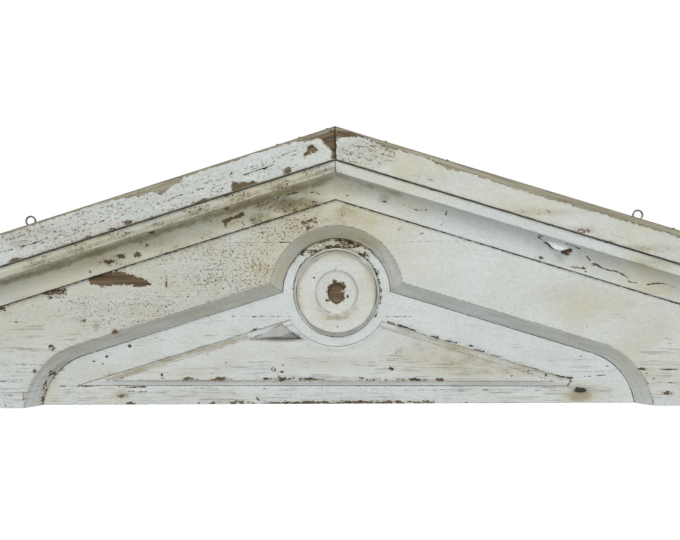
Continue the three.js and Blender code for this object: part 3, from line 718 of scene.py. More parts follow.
def lies_in_joint(edge):
    """Whether an edge runs along a joint between planks, round the panel, or along the ridge's mitre."""
    for height in (LOWER_JOINT, UPPER_JOINT):
        if all(abs(vert.co.z - height) < 0.5 * MM for vert in edge.verts):
            return True
    if all(abs(vert.co.x) < 1 * MM for vert in edge.verts):
        return True
    ends = np.array([(vert.co.x, vert.co.z) for vert in edge.verts]) / MM
    return bool(np.all(nearest_edge(ends, PANEL_OUTLINE) < 1.2))


def lies_under_cap(edge):
    """Whether an edge runs along the line where the cap sits on the moulding."""
    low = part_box("cap_left")[0]
    heights = [vert.co.z - low.z - SLOPE * (abs(low.x) - abs(vert.co.x)) for vert in edge.verts]
    return all(abs(height) < 1 * MM for height in heights)


def hard_edges(shape):
    """The ends of the piece's outer arrises and of its inner corners, in millimetres."""
    outer, inner = [], []
    for edge in shape.edges:
        angle = edge.calc_face_angle_signed()
        ends = [np.array(vert.co) / MM for vert in edge.verts]
        if angle > SHARP and not lies_in_joint(edge):
            outer.append(ends)
        elif angle < -SHARP:
            inner.append(ends)
    return outer, inner


def ease_arrises(shape):
    """Rounds the outer arrises as thick paint does, and those under the cap much less."""
    outer, slight = [], []
    for edge in shape.edges:
        if edge.calc_face_angle_signed() > SHARP and not lies_in_joint(edge):
            (slight if lies_under_cap(edge) else outer).append(edge)
    settings = {"segments": 2, "profile": 0.5, "affect": "EDGES", "material": -1, "clamp_overlap": True}
    bmesh.ops.bevel(shape, geom=outer, offset=ARRIS, **settings)
    slight = [edge for edge in slight if edge.is_valid]
    bmesh.ops.bevel(shape, geom=slight, offset=SLIGHT_ARRIS, **settings)


def cut_across(shape, direction, step, chosen=None):
    """Cuts the piece into strips a step wide, square to a direction, on the chosen faces or on all."""
    along = [vert.co.dot(direction) for vert in shape.verts]
    place = math.ceil(min(along) / step) * step + step * CUT_OFFSET
    while place < max(along):
        if chosen:
            faces = [face for face in shape.faces if chosen(face)]
            edges = list({edge for face in faces for edge in face.edges})
            verts = list({vert for face in faces for vert in face.verts})
            geometry = verts + edges + faces
        else:
            geometry = shape.verts[:] + shape.edges[:] + shape.faces[:]
        middle = direction * place
        bmesh.ops.bisect_plane(shape, geom=geometry, plane_co=middle, plane_no=direction, dist=0.01 * MM)
        place += step


def soften_curves(shape, passes=2):
    """Draws the facets of the curved stretches into one curve."""
    for _ in range(passes):
        curved = []
        for vert in shape.verts:
            angles = [abs(edge.calc_face_angle_signed(0)) for edge in vert.link_edges]
            if math.radians(1.2) < max(angles) < math.radians(14):
                curved.append(vert)
        axes = {"use_axis_x": True, "use_axis_y": True, "use_axis_z": True}
        bmesh.ops.smooth_vert(shape, verts=curved, factor=0.5, **axes)


def noise_at(places, size, seed):
    """Smooth noise from about -1 to 1 at each place, with features of a size in millimetres."""
    stretch = np.array(size if isinstance(size, tuple) else (size,) * 3)
    shift = Vector((seed, seed * 0.7, 0))
    return np.array([noise.noise(Vector(row) + shift) for row in places / stretch])


def smooth_step(low, high, values):
    """Nought up to low and one from high on, with a smooth rise between."""
    share = np.clip((values - low) / (high - low), 0, 1)
    return share * share * (3 - 2 * share)


def from_seam(surface, places):
    """How far each place on the face lies across the line under the moulding's foot, in millimetres."""
    if surface != "face":
        return np.full(len(places), FAR_AWAY)
    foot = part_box("crown_moulding_left")[0]
    apex = (foot.z + SLOPE * abs(foot.x)) / MM
    return (apex - SLOPE * np.abs(places[:, 0]) - places[:, 2]) * math.cos(PITCH)


def on_bevel(surface, normals):
    """One on the recess's bevel, which slopes down and out."""
    if surface != "face":
        return np.zeros(len(normals))
    return smooth_step(-0.94, -0.88, normals[:, 1]) * smooth_step(-0.3, -0.5, normals[:, 1])


def surface_values(surface, places, normals, outer, inner):
    """What each vertex tells the material, by the names of the attributes."""
    marks = Marks(surface, places)
    tan = marks.outlines("tan")
    brown = np.maximum(marks.outlines("brown"), marks.spots("brown_spots"))
    lines = [marks.rings(), marks.cracks(), marks.arcs()]
    values = {
        "bare": np.maximum(tan, brown),
        "tone": np.where((tan > brown) & (brown < 0), 1.0, 0.0),
        "dark": np.maximum.reduce([marks.outlines("dark"), marks.spots("dark_spots"), *lines]),
        "stain": np.maximum(marks.soft("stains"), marks.bands()),
        "crazed": marks.soft("crazed"),
        "chipped": marks.soft("chips"),
        # painted shade patches
        "shade": marks.soft("painted_shades"),
        "warm": marks.soft("warm"),
        "lined": marks.soft("lined"),
        "bevel": on_bevel(surface, normals),
        "arris": nearest_edge(places, outer),
        "corner": nearest_edge(places, inner),
        "seam": from_seam(surface, places),
    }
    in_front = smooth_step(0.2, 0.6, -normals[:, 1]) > 0.02
    for key, elsewhere in (("bare", UNMARKED), ("dark", UNMARKED), ("seam", FAR_AWAY)):
        values[key] = np.where(in_front, values[key], elsewhere)
    for key in ("stain", "crazed", "chipped", "shade", "warm", "lined"):
        values[key] = np.where(normals[:, 1] < 0.5, values[key], 0)
    return values


def relief(places, values):
    """How far each vertex is sunk below the sawn surface, in millimetres. Nothing is raised."""
    swell = SWELL * (1 + noise_at(places, (140.0, 140.0, 60.0), 3))
    film = BRUSH_MARKS * (1 + noise_at(places, (11.0, 7.0, 7.0), 8))
    lost = PAINT_FILM * smooth_step(-0.8, 0.8, values["bare"])
    weather = lost * 0.7 * (1 + noise_at(places, (30.0, 5.0, 3.2), 12))
    holes = HOLE_DEPTH * smooth_step(-0.6, 1.6, values["dark"])
    pits = PIT_DEPTH * values["crazed"] * (1 + noise_at(places, 4.0, 21))
    nicks = noise_at(places, (9.0, 9.0, 9.0), 31) + 0.6 * noise_at(places, 28.0, 37)
    worn = WORN_DEPTH * smooth_step(0.25, 0.9, nicks) * smooth_step(3.5, 0.3, values["arris"])
    return swell + film + lost + weather + holes + pits + worn


def fill_slits(surface, places, normals, moved):
    """Closes the slits behind the inner frame's edges and in the ridge's mitre, and narrows the others."""
    wall = (np.abs(normals[:, 1]) < 0.5) & (places[:, 2] > FEET / MM + 5)
    level = np.array((1, 0, 1))
    if surface == "frame":
        behind = wall & (places[:, 1] > -CREVICE)
        moved[behind] += normals[behind] * level * FRAME_SLIT * MM
    if surface == "panel":
        raking = wall & (normals[:, 2] > -0.9)
        moved[raking] += normals[raking] * level * PANEL_SLIT * MM
    if surface == "moulding":
        moved[normals[:, 2] > 0.9, 2] += CAP_SLIT * MM
    if surface in ("moulding", "cap"):
        mitre = (np.abs(places[:, 0]) < 0.6) & (places[:, 1] > places[:, 1].min() + MITRE_OPEN)
        moved[mitre, 0] = np.sign(places[mitre, 0]) * TOUCHING


def is_left_rake(edge):
    start, end = edge
    return abs(end[1] - start[1]) > 0.2 * abs(end[0] - start[0]) and max(start[0], end[0]) < RAKE_END


def paint_over_rake(places, normals, moved):
    """Fills the step along the panel's left rake, and its left tip, with old paint."""
    away = nearest_edge(places[:, (0, 2)], [edge for edge in PANEL_OUTLINE if is_left_rake(edge)])
    rim = (away < 0.5) & (normals[:, 1] <= -0.5)
    outward = normals[:, (0, 2)] / np.maximum(np.linalg.norm(normals[:, (0, 2)], axis=1), 0.1)[:, None]
    moved[np.ix_(rim, (0, 2))] += outward[rim] * PANEL_SLIT * MM
    in_tip = smooth_step(TIP_BARE, TIP_FILLED, places[:, 0])
    fill = np.maximum(smooth_step(RAKE_FILL_WIDTH, 0, away), in_tip)
    fill = np.where(normals[:, 1] < -0.3, fill, 0)
    flush = FRAME_FRONT + FILL_DIP * MM
    moved[:, 1] -= fill * np.maximum(moved[:, 1] - flush, 0)


def close_joints(surface, places, moved):
    """Fills the joints between planks with paint, apart from the stretch where one has opened."""
    for joint in JOINTS.get(surface, []):
        above = places[:, 2] - joint / MM
        filled = np.abs(above) < 0.5
        if joint == FACE_UPPER_JOINT:
            filled &= (places[:, 0] <= OPENED[0]) | (places[:, 0] >= OPENED[1])
        moved[filled, 2] = joint - np.sign(above[filled]) * TOUCHING


def weathered(surface, places, normals, values):
    """Where each vertex goes, in metres, once the timber is worn and its old joints are filled."""
    lowered = relief(places, values)
    if surface in ("frame", "panel"):
        lowered *= np.where(np.abs(normals[:, 1]) < 0.5, 0.2, 1)
    moved = (places - normals * lowered[:, None]) * MM
    fill_slits(surface, places, normals, moved)
    if surface == "panel":
        paint_over_rake(places, normals, moved)
    close_joints(surface, places, moved)
    return moved


def new_piece(name, shape, material, sharp):
    """Makes a mesh a piece that rides with the rest. Edges turned by over sharp degrees stay crisp."""
    mesh = bpy.data.meshes.new(name)
    shape.to_mesh(mesh)
    shape.free()
    mesh.shade_smooth()
    mesh.set_sharp_from_angle(angle=math.radians(sharp))
    mesh.materials.append(material)
    piece = bpy.data.objects.new(name, mesh)
    bpy.context.scene.collection.objects.link(piece)
    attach(piece, "root")
    return piece


def not_back(face):
    """Whether a face isn't on the piece's flat back."""
    return face.normal.y < 0.9


def timber(node, material, surface, rake=UPRIGHT, grid=GRID):
    """A CAD timber cut finely enough for its wear, with its relief and marks, in the node's place."""
    shape = cad_copy(node)
    outer, inner = hard_edges(shape)
    ease_arrises(shape)
    cut_across(shape, ACROSS, grid)
    cut_across(shape, rake, grid, not_back)
    cut_across(shape, DEPTH, COARSE_GRID)
    soften_curves(shape)
    shape.normal_update()
    places = np.array([vert.co for vert in shape.verts]) / MM
    normals = np.array([vert.normal for vert in shape.verts])
    values = surface_values(surface, places, normals, outer, inner)
    for vert, place in zip(shape.verts, weathered(surface, places, normals, values)):
        vert.co = place
    piece = new_piece(node + "_timber", shape, material, sharp=32)
    for key, level in values.items():
        written = piece.data.attributes.new(key, "FLOAT", "POINT")
        written.data.foreach_set("value", level.astype(np.float32))
    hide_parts(node)


def srgb(red, green, blue):
    """A colour read as the screen shows it, as the shader's linear one."""
    def linear(value):
        value /= 255
        return value / 12.92 if value <= 0.04045 else ((value + 0.055) / 1.055) ** 2.4
    return (linear(red), linear(green), linear(blue), 1)


def feed(tree, sockets, values):
    """Links each named socket to the one it is given, or sets it when that is a plain value."""
    for name, value in values.items():
        if isinstance(value, bpy.types.NodeSocket):
            tree.links.new(value, sockets[name])
        else:
            sockets[name].default_value = value


def new_node(tree, kind, inputs=None, **settings):
    """A node with its settings made and its sockets fed."""
    made = tree.nodes.new(kind)
    for name, value in settings.items():
        setattr(made, name, value)
    feed(tree, made.inputs, inputs or {})
    return made


def maths(tree, operation, first, second=0.0):
    inputs = {0: first} if operation == "ABSOLUTE" else {0: first, 1: second}
    return new_node(tree, "ShaderNodeMath", inputs, operation=operation).outputs[0]


def plus(tree, first, second):
    return maths(tree, "ADD", first, second)


def minus(tree, first, second):
    return maths(tree, "SUBTRACT", first, second)


def times(tree, first, second):
    return maths(tree, "MULTIPLY", first, second)


def greater(tree, first, second):
    return maths(tree, "MAXIMUM", first, second)


def mixed(tree, factor, first, second):
    """The first colour where the factor is nought, the second where it is one."""
    made = new_node(tree, "ShaderNodeMix", {0: factor, 6: first, 7: second}, data_type="RGBA")
    return made.outputs[2]


def ranged(tree, value, low, high, to_low=0.0, to_high=1.0):
    """A value that goes smoothly from one end to the other as the given one goes from low to high."""
    inputs = {"Value": value, "From Min": low, "From Max": high, "To Min": to_low, "To Max": to_high}
    return new_node(tree, "ShaderNodeMapRange", inputs, interpolation_type="SMOOTHSTEP").outputs[0]


def noise_value(tree, vector, stretch, detail=2.0, roughness=0.5, distortion=0.0, shift=(0, 0, 0)):
    """Noise whose features per metre along X, Y and Z are the three numbers of stretch."""
    mapped = new_node(tree, "ShaderNodeMapping", {"Vector": vector, "Scale": stretch, "Location": shift})
    inputs = {
        "Vector": mapped.outputs[0],
        "Scale": 1.0,
        "Detail": detail,
        "Roughness": roughness,
        "Distortion": distortion,
    }
    return new_node(tree, "ShaderNodeTexNoise", inputs).outputs["Fac"]


def attribute(tree, name):
    return new_node(tree, "ShaderNodeAttribute", attribute_name=name).outputs["Fac"]


def new_group(name, inputs, outputs):
    """A node group with named sockets, and its input and output nodes."""
    tree = bpy.data.node_groups.new(name, "ShaderNodeTree")
    for label, kind, value in inputs:
        socket = tree.interface.new_socket(label, in_out="INPUT", socket_type="NodeSocket" + kind)
        if value is not None:
            socket.default_value = value
    for label, kind in outputs:
        tree.interface.new_socket(label, in_out="OUTPUT", socket_type="NodeSocket" + kind)
    return tree, tree.nodes.new("NodeGroupInput").outputs, tree.nodes.new("NodeGroupOutput").inputs


def rake_group():
    """Coordinates that follow the slope on both sides, so that a pattern runs along the rake."""
    tree, given, result = new_group("Along the rake", [("Vector", "Vector", None)], [("Vector", "Vector")])
    parts = new_node(tree, "ShaderNodeSeparateXYZ", {0: given["Vector"]}).outputs
    rise = times(tree, maths(tree, "ABSOLUTE", parts[0]), SLOPE)
    level = plus(tree, parts[2], rise)
    joined = new_node(tree, "ShaderNodeCombineXYZ", {0: parts[0], 1: parts[1], 2: level})
    tree.links.new(joined.outputs[0], result["Vector"])
    return tree


def ragged_group():
    """Turns a distance in millimetres into a crisp mask with a torn edge, and the rims on its two sides."""
    tree, given, result = new_group(
        "Torn edge",
        [("Vector", "Vector", None), ("Distance", "Float", 0.0), ("Raggedness", "Float", 1.0)],
        [("Mask", "Float"), ("Rim", "Float"), ("Inner", "Float")],
    )
    broad = noise_value(tree, given["Vector"], (90, 90, 130), detail=3, roughness=0.6, shift=(7, 3, 1))
    fine = noise_value(tree, given["Vector"], (330, 330, 480), detail=5, roughness=0.7)
    swing = times(tree, minus(tree, broad, 0.5), 9.0)
    swing = plus(tree, swing, times(tree, minus(tree, fine, 0.5), 6.0))
    torn = plus(tree, given["Distance"], times(tree, swing, given["Raggedness"]))
    tree.links.new(ranged(tree, torn, -0.2, 0.2), result["Mask"])
    near = times(tree, ranged(tree, torn, -1.8, -0.1), ranged(tree, torn, 0.25, -0.1))
    tree.links.new(near, result["Rim"])
    inner = times(tree, ranged(tree, torn, 1.8, 0.2), ranged(tree, torn, 0.0, 0.2))
    tree.links.new(inner, result["Inner"])
    return tree


def specks_group():
    """Small lost flecks of paint in rows along the grain. Density goes from none at 0 to many at 1."""
    tree, given, result = new_group(
        "Lost flecks",
        [
            ("Vector", "Vector", None),
            ("Stretch", "Vector", (1, 1, 1)),
            ("Rows", "Float", 0.2),
            ("Density", "Float", 0.5),
        ],
        [("Mask", "Float"), ("Deep", "Float"), ("Blister", "Float")],
    )
    sides = {0: given["Vector"], 1: given["Stretch"]}
    stretched = new_node(tree, "ShaderNodeVectorMath", sides, operation="MULTIPLY")
    flecks = noise_value(tree, stretched.outputs[0], (235, 250, 285), detail=2, roughness=0.6)
    rows = noise_value(tree, given["Vector"], (7, 50, 230), detail=2, roughness=0.5, shift=(3, 1, 5))
    clumps = noise_value(tree, given["Vector"], (34, 34, 60), detail=2, roughness=0.5, shift=(9, 4, 2))
    lifted = times(tree, minus(tree, rows, 0.5), given["Rows"])
    gathered = times(tree, minus(tree, clumps, 0.5), 0.2)
    level = plus(tree, plus(tree, flecks, lifted), gathered)
    edge = ranged(tree, given["Density"], 0.0, 1.0, 0.78, 0.545)
    over = minus(tree, level, edge)
    tree.links.new(ranged(tree, over, 0.0, 0.03), result["Mask"])
    tree.links.new(ranged(tree, over, 0.05, 0.1), result["Deep"])
    blister = noise_value(tree, given["Vector"], (300, 300, 330), detail=3, roughness=0.66, shift=(5, 2, 8))
    tree.links.new(blister, result["Blister"])
    return tree


def checks_group():
    """Thin broken lines along the grain, where the paint has split over it."""
    tree, given, result = new_group(
        "Grain splits",
        [("Vector", "Vector", None), ("Amount", "Float", 0.5)],
        [("Mask", "Float"), ("Ridges", "Float")],
    )
    lines = noise_value(tree, given["Vector"], (12, 8, 640), detail=3, roughness=0.66, shift=(2, 7, 3))
    breaks = noise_value(tree, given["Vector"], (26, 20, 70), detail=3, roughness=0.6, shift=(8, 1, 6))
    level = plus(tree, lines, times(tree, minus(tree, breaks, 0.5), 0.5))
    edge = ranged(tree, given["Amount"], 0.0, 1.0, 0.82, 0.6)
    tree.links.new(ranged(tree, minus(tree, level, edge), 0.0, 0.04), result["Mask"])
    tree.links.new(lines, result["Ridges"])
    return tree


def grain_group():
    """Weathered softwood grain that runs along X: a shade and a height."""
    tree, given, result = new_group(
        "Weathered grain", [("Vector", "Vector", None)], [("Shade", "Float"), ("Height", "Float")]
    )
    bands = noise_value(tree, given["Vector"], (6, 60, 150), detail=4, roughness=0.6, distortion=0.5)
    fibres = noise_value(tree, given["Vector"], (24, 300, 1100), detail=3, roughness=0.6)
    both = plus(tree, times(tree, bands, 0.65), times(tree, fibres, 0.35))
    tree.links.new(ranged(tree, both, 0.34, 0.66), result["Shade"])
    tree.links.new(both, result["Height"])
    return tree


def stain_group():
    """Blotchy soaking-in of a stain whose soft strength is given."""
    tree, given, result = new_group(
        "Blotches", [("Vector", "Vector", None), ("Strength", "Float", 0.5)], [("Mask", "Float")]
    )
    broad = noise_value(tree, given["Vector"], (42, 42, 70), detail=6, roughness=0.68)
    fine = noise_value(tree, given["Vector"], (260, 260, 380), detail=3, roughness=0.6, shift=(4, 4, 4))
    level = plus(tree, times(tree, broad, 0.7), times(tree, fine, 0.3))
    edge = minus(tree, 0.72, times(tree, given["Strength"], 0.34))
    tree.links.new(ranged(tree, minus(tree, level, edge), -0.08, 0.16), result["Mask"])
    return tree


def chips_group():
    """Irregular chips down to the wood, as many as the given density."""
    tree, given, result = new_group(
        "Chips",
        [("Vector", "Vector", None), ("Density", "Float", 0.5)],
        [("Mask", "Float"), ("Deep", "Float")],
    )
    shapes = noise_value(tree, given["Vector"], (150, 150, 240), detail=6, roughness=0.72, shift=(6, 6, 2))
    edge = ranged(tree, given["Density"], 0.0, 1.0, 0.80, 0.47)
    over = minus(tree, shapes, edge)
    tree.links.new(ranged(tree, over, 0.0, 0.02), result["Mask"])
    tree.links.new(ranged(tree, over, 0.04, 0.09), result["Deep"])
    return tree


def facing_group():
    """Which way the surface faces: back, up, underneath or to an end."""
    tree, given, result = new_group(
        "Facing",
        [("Normal", "Vector", None)],
        [("Back", "Float"), ("Up", "Float"), ("Under", "Float"), ("End", "Float")],
    )
    parts = new_node(tree, "ShaderNodeSeparateXYZ", {0: given["Normal"]}).outputs
    tree.links.new(ranged(tree, parts[1], 0.5, 0.6), result["Back"])
    tree.links.new(ranged(tree, parts[2], 0.72, 0.8), result["Up"])
    tree.links.new(ranged(tree, parts[2], -0.972, -0.982), result["Under"])
    tree.links.new(ranged(tree, maths(tree, "ABSOLUTE", parts[0]), 0.9, 0.95), result["End"])
    return tree


def saw_group():
    """Marks of the saw on the bare back: upright lines a few millimetres apart."""
    tree, given, result = new_group("Saw marks", [("Vector", "Vector", None)], [("Height", "Float")])
    turned = new_node(tree, "ShaderNodeMapping", {"Vector": given["Vector"], "Rotation": (0, 0.12, 0)})
    inputs = {
        "Vector": turned.outputs[0],
        "Scale": 62.0,
        "Distortion": 1.4,
        "Detail": 2.0,
        "Detail Scale": 2.2,
    }
    waves = new_node(tree, "ShaderNodeTexWave", inputs, bands_direction="X")
    tree.links.new(waves.outputs["Fac"], result["Height"])
    return tree


RAKE = rake_group()
RAGGED = ragged_group()
SPECKS = specks_group()
CHECKS = checks_group()
GRAIN = grain_group()
STAIN = stain_group()
CHIPS = chips_group()
FACING = facing_group()
SAW = saw_group()


def placed(tree, group, **inputs):
    """The outputs of a node group put in a tree."""
    return new_node(tree, "ShaderNodeGroup", inputs, node_tree=group).outputs


def new_material(name):
    """A material and its tree, still empty."""
    material = bpy.data.materials.new(name)
    material.use_nodes = True
    material.node_tree.nodes.clear()
    return material, material.node_tree


def finish_material(tree, colour, rough, height, depth, strength, **plain):
    """Joins a colour, a roughness and a relief, whose depth is in millimetres, into the surface."""
    relieved = {"Height": height, "Distance": depth * MM, "Strength": strength}
    bump = new_node(tree, "ShaderNodeBump", relieved)
    inputs = {"Base Color": colour, "Roughness": rough, "Normal": bump.outputs[0], **plain}
    shader = new_node(tree, "ShaderNodeBsdfPrincipled", inputs)
    output = tree.nodes.new("ShaderNodeOutputMaterial")
    tree.links.new(shader.outputs[0], output.inputs["Surface"])


BARE_DARK = srgb(72, 58, 42)
BARE_LIGHT = srgb(132, 114, 88)
TAN_DARK = srgb(124, 116, 96)
TAN_LIGHT = srgb(178, 173, 153)
OLD_BACK_DARK = srgb(92, 76, 58)
OLD_BACK_LIGHT = srgb(158, 138, 108)
# Near black for dirt and painted shade: holes, cracks, deep chips and the line under the moulding.
SOOT_AND_SHADE = srgb(44, 36, 28)
RIM_OCHRE = srgb(160, 142, 108)
# Brownish dirt and painted shade near inner corners.
CORNER_DIRT_AND_SHADE = srgb(120, 108, 82)
# Grey for painted shade: the shade patches and the line along inner corners.
PAINTED_SHADE_GREY = srgb(66, 64, 58)
CREAM = srgb(212, 205, 172)
STREAK = srgb(160, 160, 144)
SPLIT_GREY = srgb(132, 128, 110)
FLECK_TAN = srgb(138, 121, 84)


def painted_timber(
    name,
    light,
    shade,
    stain,
    along_rake=False,
    stretch=(1, 1, 1),
    rows=0.15,
    blistered=0.3,
    splits=0.25,
    wear=1.0,
):
    """Old paint on timber: uneven colour, stains, lost flecks, splits over the grain, and bare wood."""
    material, tree = new_material(name)
    texture = tree.nodes.new("ShaderNodeTexCoord").outputs
    vector = texture["Object"]
    if along_rake:
        vector = placed(tree, RAKE, Vector=vector)["Vector"]
    facing = placed(tree, FACING, Normal=texture["Normal"])

    # The coat of paint, with its drift of colour and its stains
    cloud = noise_value(tree, vector, (16, 16, 26), detail=4, roughness=0.6)
    mottle = noise_value(tree, vector, (190, 220, 290), detail=4, roughness=0.66, shift=(1, 2, 3))
    peel = noise_value(tree, vector, (105, 130, 170), detail=2, roughness=0.5, shift=(6, 1, 4))
    drifting = plus(tree, times(tree, cloud, 0.35), times(tree, mottle, 0.65))
    paint = mixed(tree, ranged(tree, drifting, 0.36, 0.64), light, shade)
    warm = attribute(tree, "warm")
    drift = times(tree, warm, ranged(tree, cloud, 0.3, 0.7, 0.45, 1.0))
    paint = mixed(tree, drift, paint, CREAM)
    stained = attribute(tree, "stain")
    strength = greater(tree, stained, times(tree, warm, 0.4))
    blotches = placed(tree, STAIN, Vector=vector, Strength=strength)["Mask"]
    soaked = plus(tree, times(tree, blotches, 0.45), times(tree, stained, 0.3))
    paint = mixed(tree, soaked, paint, stain)

    # Flecks, splits over the grain, streaks down the bevel, and dirt with painted shade in the inner
    # corners
    bevel = attribute(tree, "bevel")
    crazed = times(tree, attribute(tree, "crazed"), ranged(tree, bevel, 0.0, 1.0, 1.0, 0.4))
    specks = placed(tree, SPECKS, Vector=vector, Stretch=stretch, Rows=rows, Density=crazed)
    blisters = times(tree, ranged(tree, specks["Blister"], 0.44, 0.6), crazed)
    paint = mixed(tree, times(tree, blisters, blistered), paint, stain)
    lined = times(tree, attribute(tree, "lined"), 0.75)
    checks = placed(tree, CHECKS, Vector=vector, Amount=plus(tree, lined, splits))
    paint = mixed(tree, times(tree, checks["Mask"], 0.42), paint, SPLIT_GREY)
    streaks = noise_value(tree, texture["Object"], (14, 330, 14), detail=4, roughness=0.66, shift=(4, 9, 1))
    streaked = times(tree, ranged(tree, streaks, 0.42, 0.62), bevel)
    paint = mixed(tree, times(tree, streaked, 0.3), paint, STREAK)
    # Painted shade with some dirt: a brownish darkening up to 6 mm from inner corners, and a grey painted
    # shadow line along them.
    corner = attribute(tree, "corner")
    corner_dirt_and_shade = times(tree, ranged(tree, corner, 6.0, 0.0), ranged(tree, cloud, 0.3, 0.6))
    paint = mixed(tree, times(tree, corner_dirt_and_shade, 0.22), paint, CORNER_DIRT_AND_SHADE)
    line = times(tree, ranged(tree, corner, 1.0, 0.1), ranged(tree, cloud, 0.36, 0.52))
    paint = mixed(tree, times(tree, line, 0.5), paint, PAINTED_SHADE_GREY)

    # Where the paint is gone, and the wood under it
    torn = placed(tree, RAGGED, Vector=vector, Distance=attribute(tree, "bare"), Raggedness=1.7)
    chips = placed(tree, CHIPS, Vector=vector, Density=attribute(tree, "chipped"))
    worn = minus(tree, times(tree, mottle, 3.4 * wear), attribute(tree, "arris"))
    nicked = times(tree, ranged(tree, worn, 1.45, 1.6), 0.85)
    bare = greater(tree, greater(tree, torn["Mask"], nicked), chips["Mask"])
    bare_side = greater(tree, facing["Back"], facing["End"])
    bare_side = greater(tree, bare_side, greater(tree, facing["Up"], facing["Under"]))
    grain = placed(tree, GRAIN, Vector=vector)
    brown = mixed(tree, grain["Shade"], BARE_DARK, BARE_LIGHT)
    tan = mixed(tree, grain["Shade"], TAN_DARK, TAN_LIGHT)
    wood = mixed(tree, attribute(tree, "tone"), brown, tan)
    # Darker wood just inside the paint's torn edge: partly dirt, partly painted shadow of the paint film's
    # edge.
    wood = mixed(tree, times(tree, torn["Inner"], 0.5), wood, BARE_DARK)
    wood = mixed(tree, times(tree, chips["Deep"], 0.7), wood, SOOT_AND_SHADE)
    old = mixed(tree, grain["Shade"], OLD_BACK_DARK, OLD_BACK_LIGHT)

    # One over the other, with the holes and the dark line under the moulding on top, near black for their
    # dirt and painted shade
    colour = mixed(tree, times(tree, torn["Rim"], 0.45), paint, RIM_OCHRE)
    colour = mixed(tree, bare, colour, wood)
    colour = mixed(tree, times(tree, specks["Mask"], 0.6), colour, FLECK_TAN)
    colour = mixed(tree, times(tree, specks["Deep"], 0.7), colour, BARE_DARK)
    # Painted shade: the shade patches darken the colour towards grey.
    colour = mixed(tree, attribute(tree, "shade"), colour, PAINTED_SHADE_GREY)
    colour = mixed(tree, bare_side, colour, old)
    holes = placed(tree, RAGGED, Vector=vector, Distance=attribute(tree, "dark"), Raggedness=0.55)["Mask"]
    # The dark line along the moulding's foot: painted shadow under its lip, with dirt in the joint.
    wander = noise_value(tree, vector, (70, 70, 300), detail=4, roughness=0.7)
    uneven = ranged(tree, wander, 0.34, 0.66, 0.2, 2.1)
    beyond = minus(tree, maths(tree, "ABSOLUTE", attribute(tree, "seam")), uneven)
    holes = greater(tree, holes, ranged(tree, beyond, 0.3, -0.3))
    colour = mixed(tree, times(tree, holes, 0.9), colour, SOOT_AND_SHADE)

    # The fine relief, and how matt the surface is
    saw = placed(tree, SAW, Vector=texture["Object"])["Height"]
    layers = (
        (minus(tree, 1.0, greater(tree, bare, specks["Mask"])), 0.5),
        (grain["Height"], 0.25),
        (blisters, -0.45),
        (streaked, -0.3),
        (mottle, 0.6),
        (peel, 1.3),
        (checks["Mask"], -0.3),
        (checks["Ridges"], 0.2),
        (times(tree, saw, facing["Back"]), 0.3),
    )
    height = 0.5
    for level, share in layers:
        height = plus(tree, height, times(tree, level, share))
    rough = plus(tree, 0.62, times(tree, mottle, 0.2))
    rough = plus(tree, rough, times(tree, greater(tree, bare, bare_side), 0.14))
    finish_material(tree, colour, rough, height, 1.0, 0.9, **{"Specular IOR Level": 0.3})
    return material


def zinc():
    """Dull zinc plate, a little mottled."""
    material, tree = new_material("dull zinc")
    vector = tree.nodes.new("ShaderNodeTexCoord").outputs["Object"]
    spangle = noise_value(tree, vector, (500, 500, 500), detail=3, roughness=0.6)
    dirt = noise_value(tree, vector, (160, 160, 160), detail=3, roughness=0.6, shift=(3, 3, 3))
    colour = mixed(tree, ranged(tree, spangle, 0.35, 0.65), srgb(122, 126, 130), srgb(160, 163, 166))
    colour = mixed(tree, ranged(tree, dirt, 0.56, 0.7), colour, srgb(96, 90, 82))
    rough = ranged(tree, spangle, 0.3, 0.7, 0.28, 0.5)
    finish_material(tree, colour, rough, spangle, 0.15, 0.5, Metallic=1.0)
    return material


STAIN_TAN = srgb(158, 142, 104)
STAIN_OLIVE = srgb(112, 101, 48)
FACE = painted_timber("face paint", srgb(222, 227, 225), srgb(209, 212, 206), STAIN_TAN, splits=0.3)
FRAME = painted_timber("inner frame paint", srgb(222, 228, 227), srgb(209, 213, 210), STAIN_TAN, splits=0.5)
FIELD = painted_timber("field paint", srgb(222, 226, 224), srgb(210, 212, 207), STAIN_TAN, splits=0.45)
ROSETTE = painted_timber(
    "rosette paint",
    srgb(220, 224, 219),
    srgb(208, 209, 200),
    STAIN_TAN,
    splits=0.1,
    wear=0.45,
)
CROWN = painted_timber(
    "crown moulding paint",
    srgb(218, 224, 223),
    srgb(206, 209, 203),
    STAIN_OLIVE,
    along_rake=True,
    splits=0.3,
    wear=0.8,
)
CAP = painted_timber(
    "cap paint",
    srgb(220, 225, 224),
    srgb(205, 209, 204),
    STAIN_TAN,
    along_rake=True,
    stretch=(0.85, 1.1, 1.25),
    rows=0.3,
    blistered=0.15,
    splits=0.3,
)
ZINC = zinc()

# The timbers
timber("face_plank_top", FACE, "face")
for side in ("left", "right"):
    timber(f"face_plank_middle_{side}", FACE, "face")
    timber(f"face_plank_foot_{side}", FACE, "face")
timber("inner_frame_upper", FRAME, "frame")
timber("inner_frame_lower", FRAME, "frame")
timber("fielded_panel", FIELD, "panel")
timber("rosette", ROSETTE, "rosette", grid=1.6 * MM)
for side, rake in (("left", RAKE_LEFT), ("right", RAKE_RIGHT)):
    timber(f"crown_moulding_{side}", CROWN, "moulding", rake=rake)
    timber(f"cap_{side}", CAP, "cap", rake=rake)

for side in ("left", "right"):
    frame["nodes"][f"screw_eye_{side}"].material_slots[0].material = ZINC


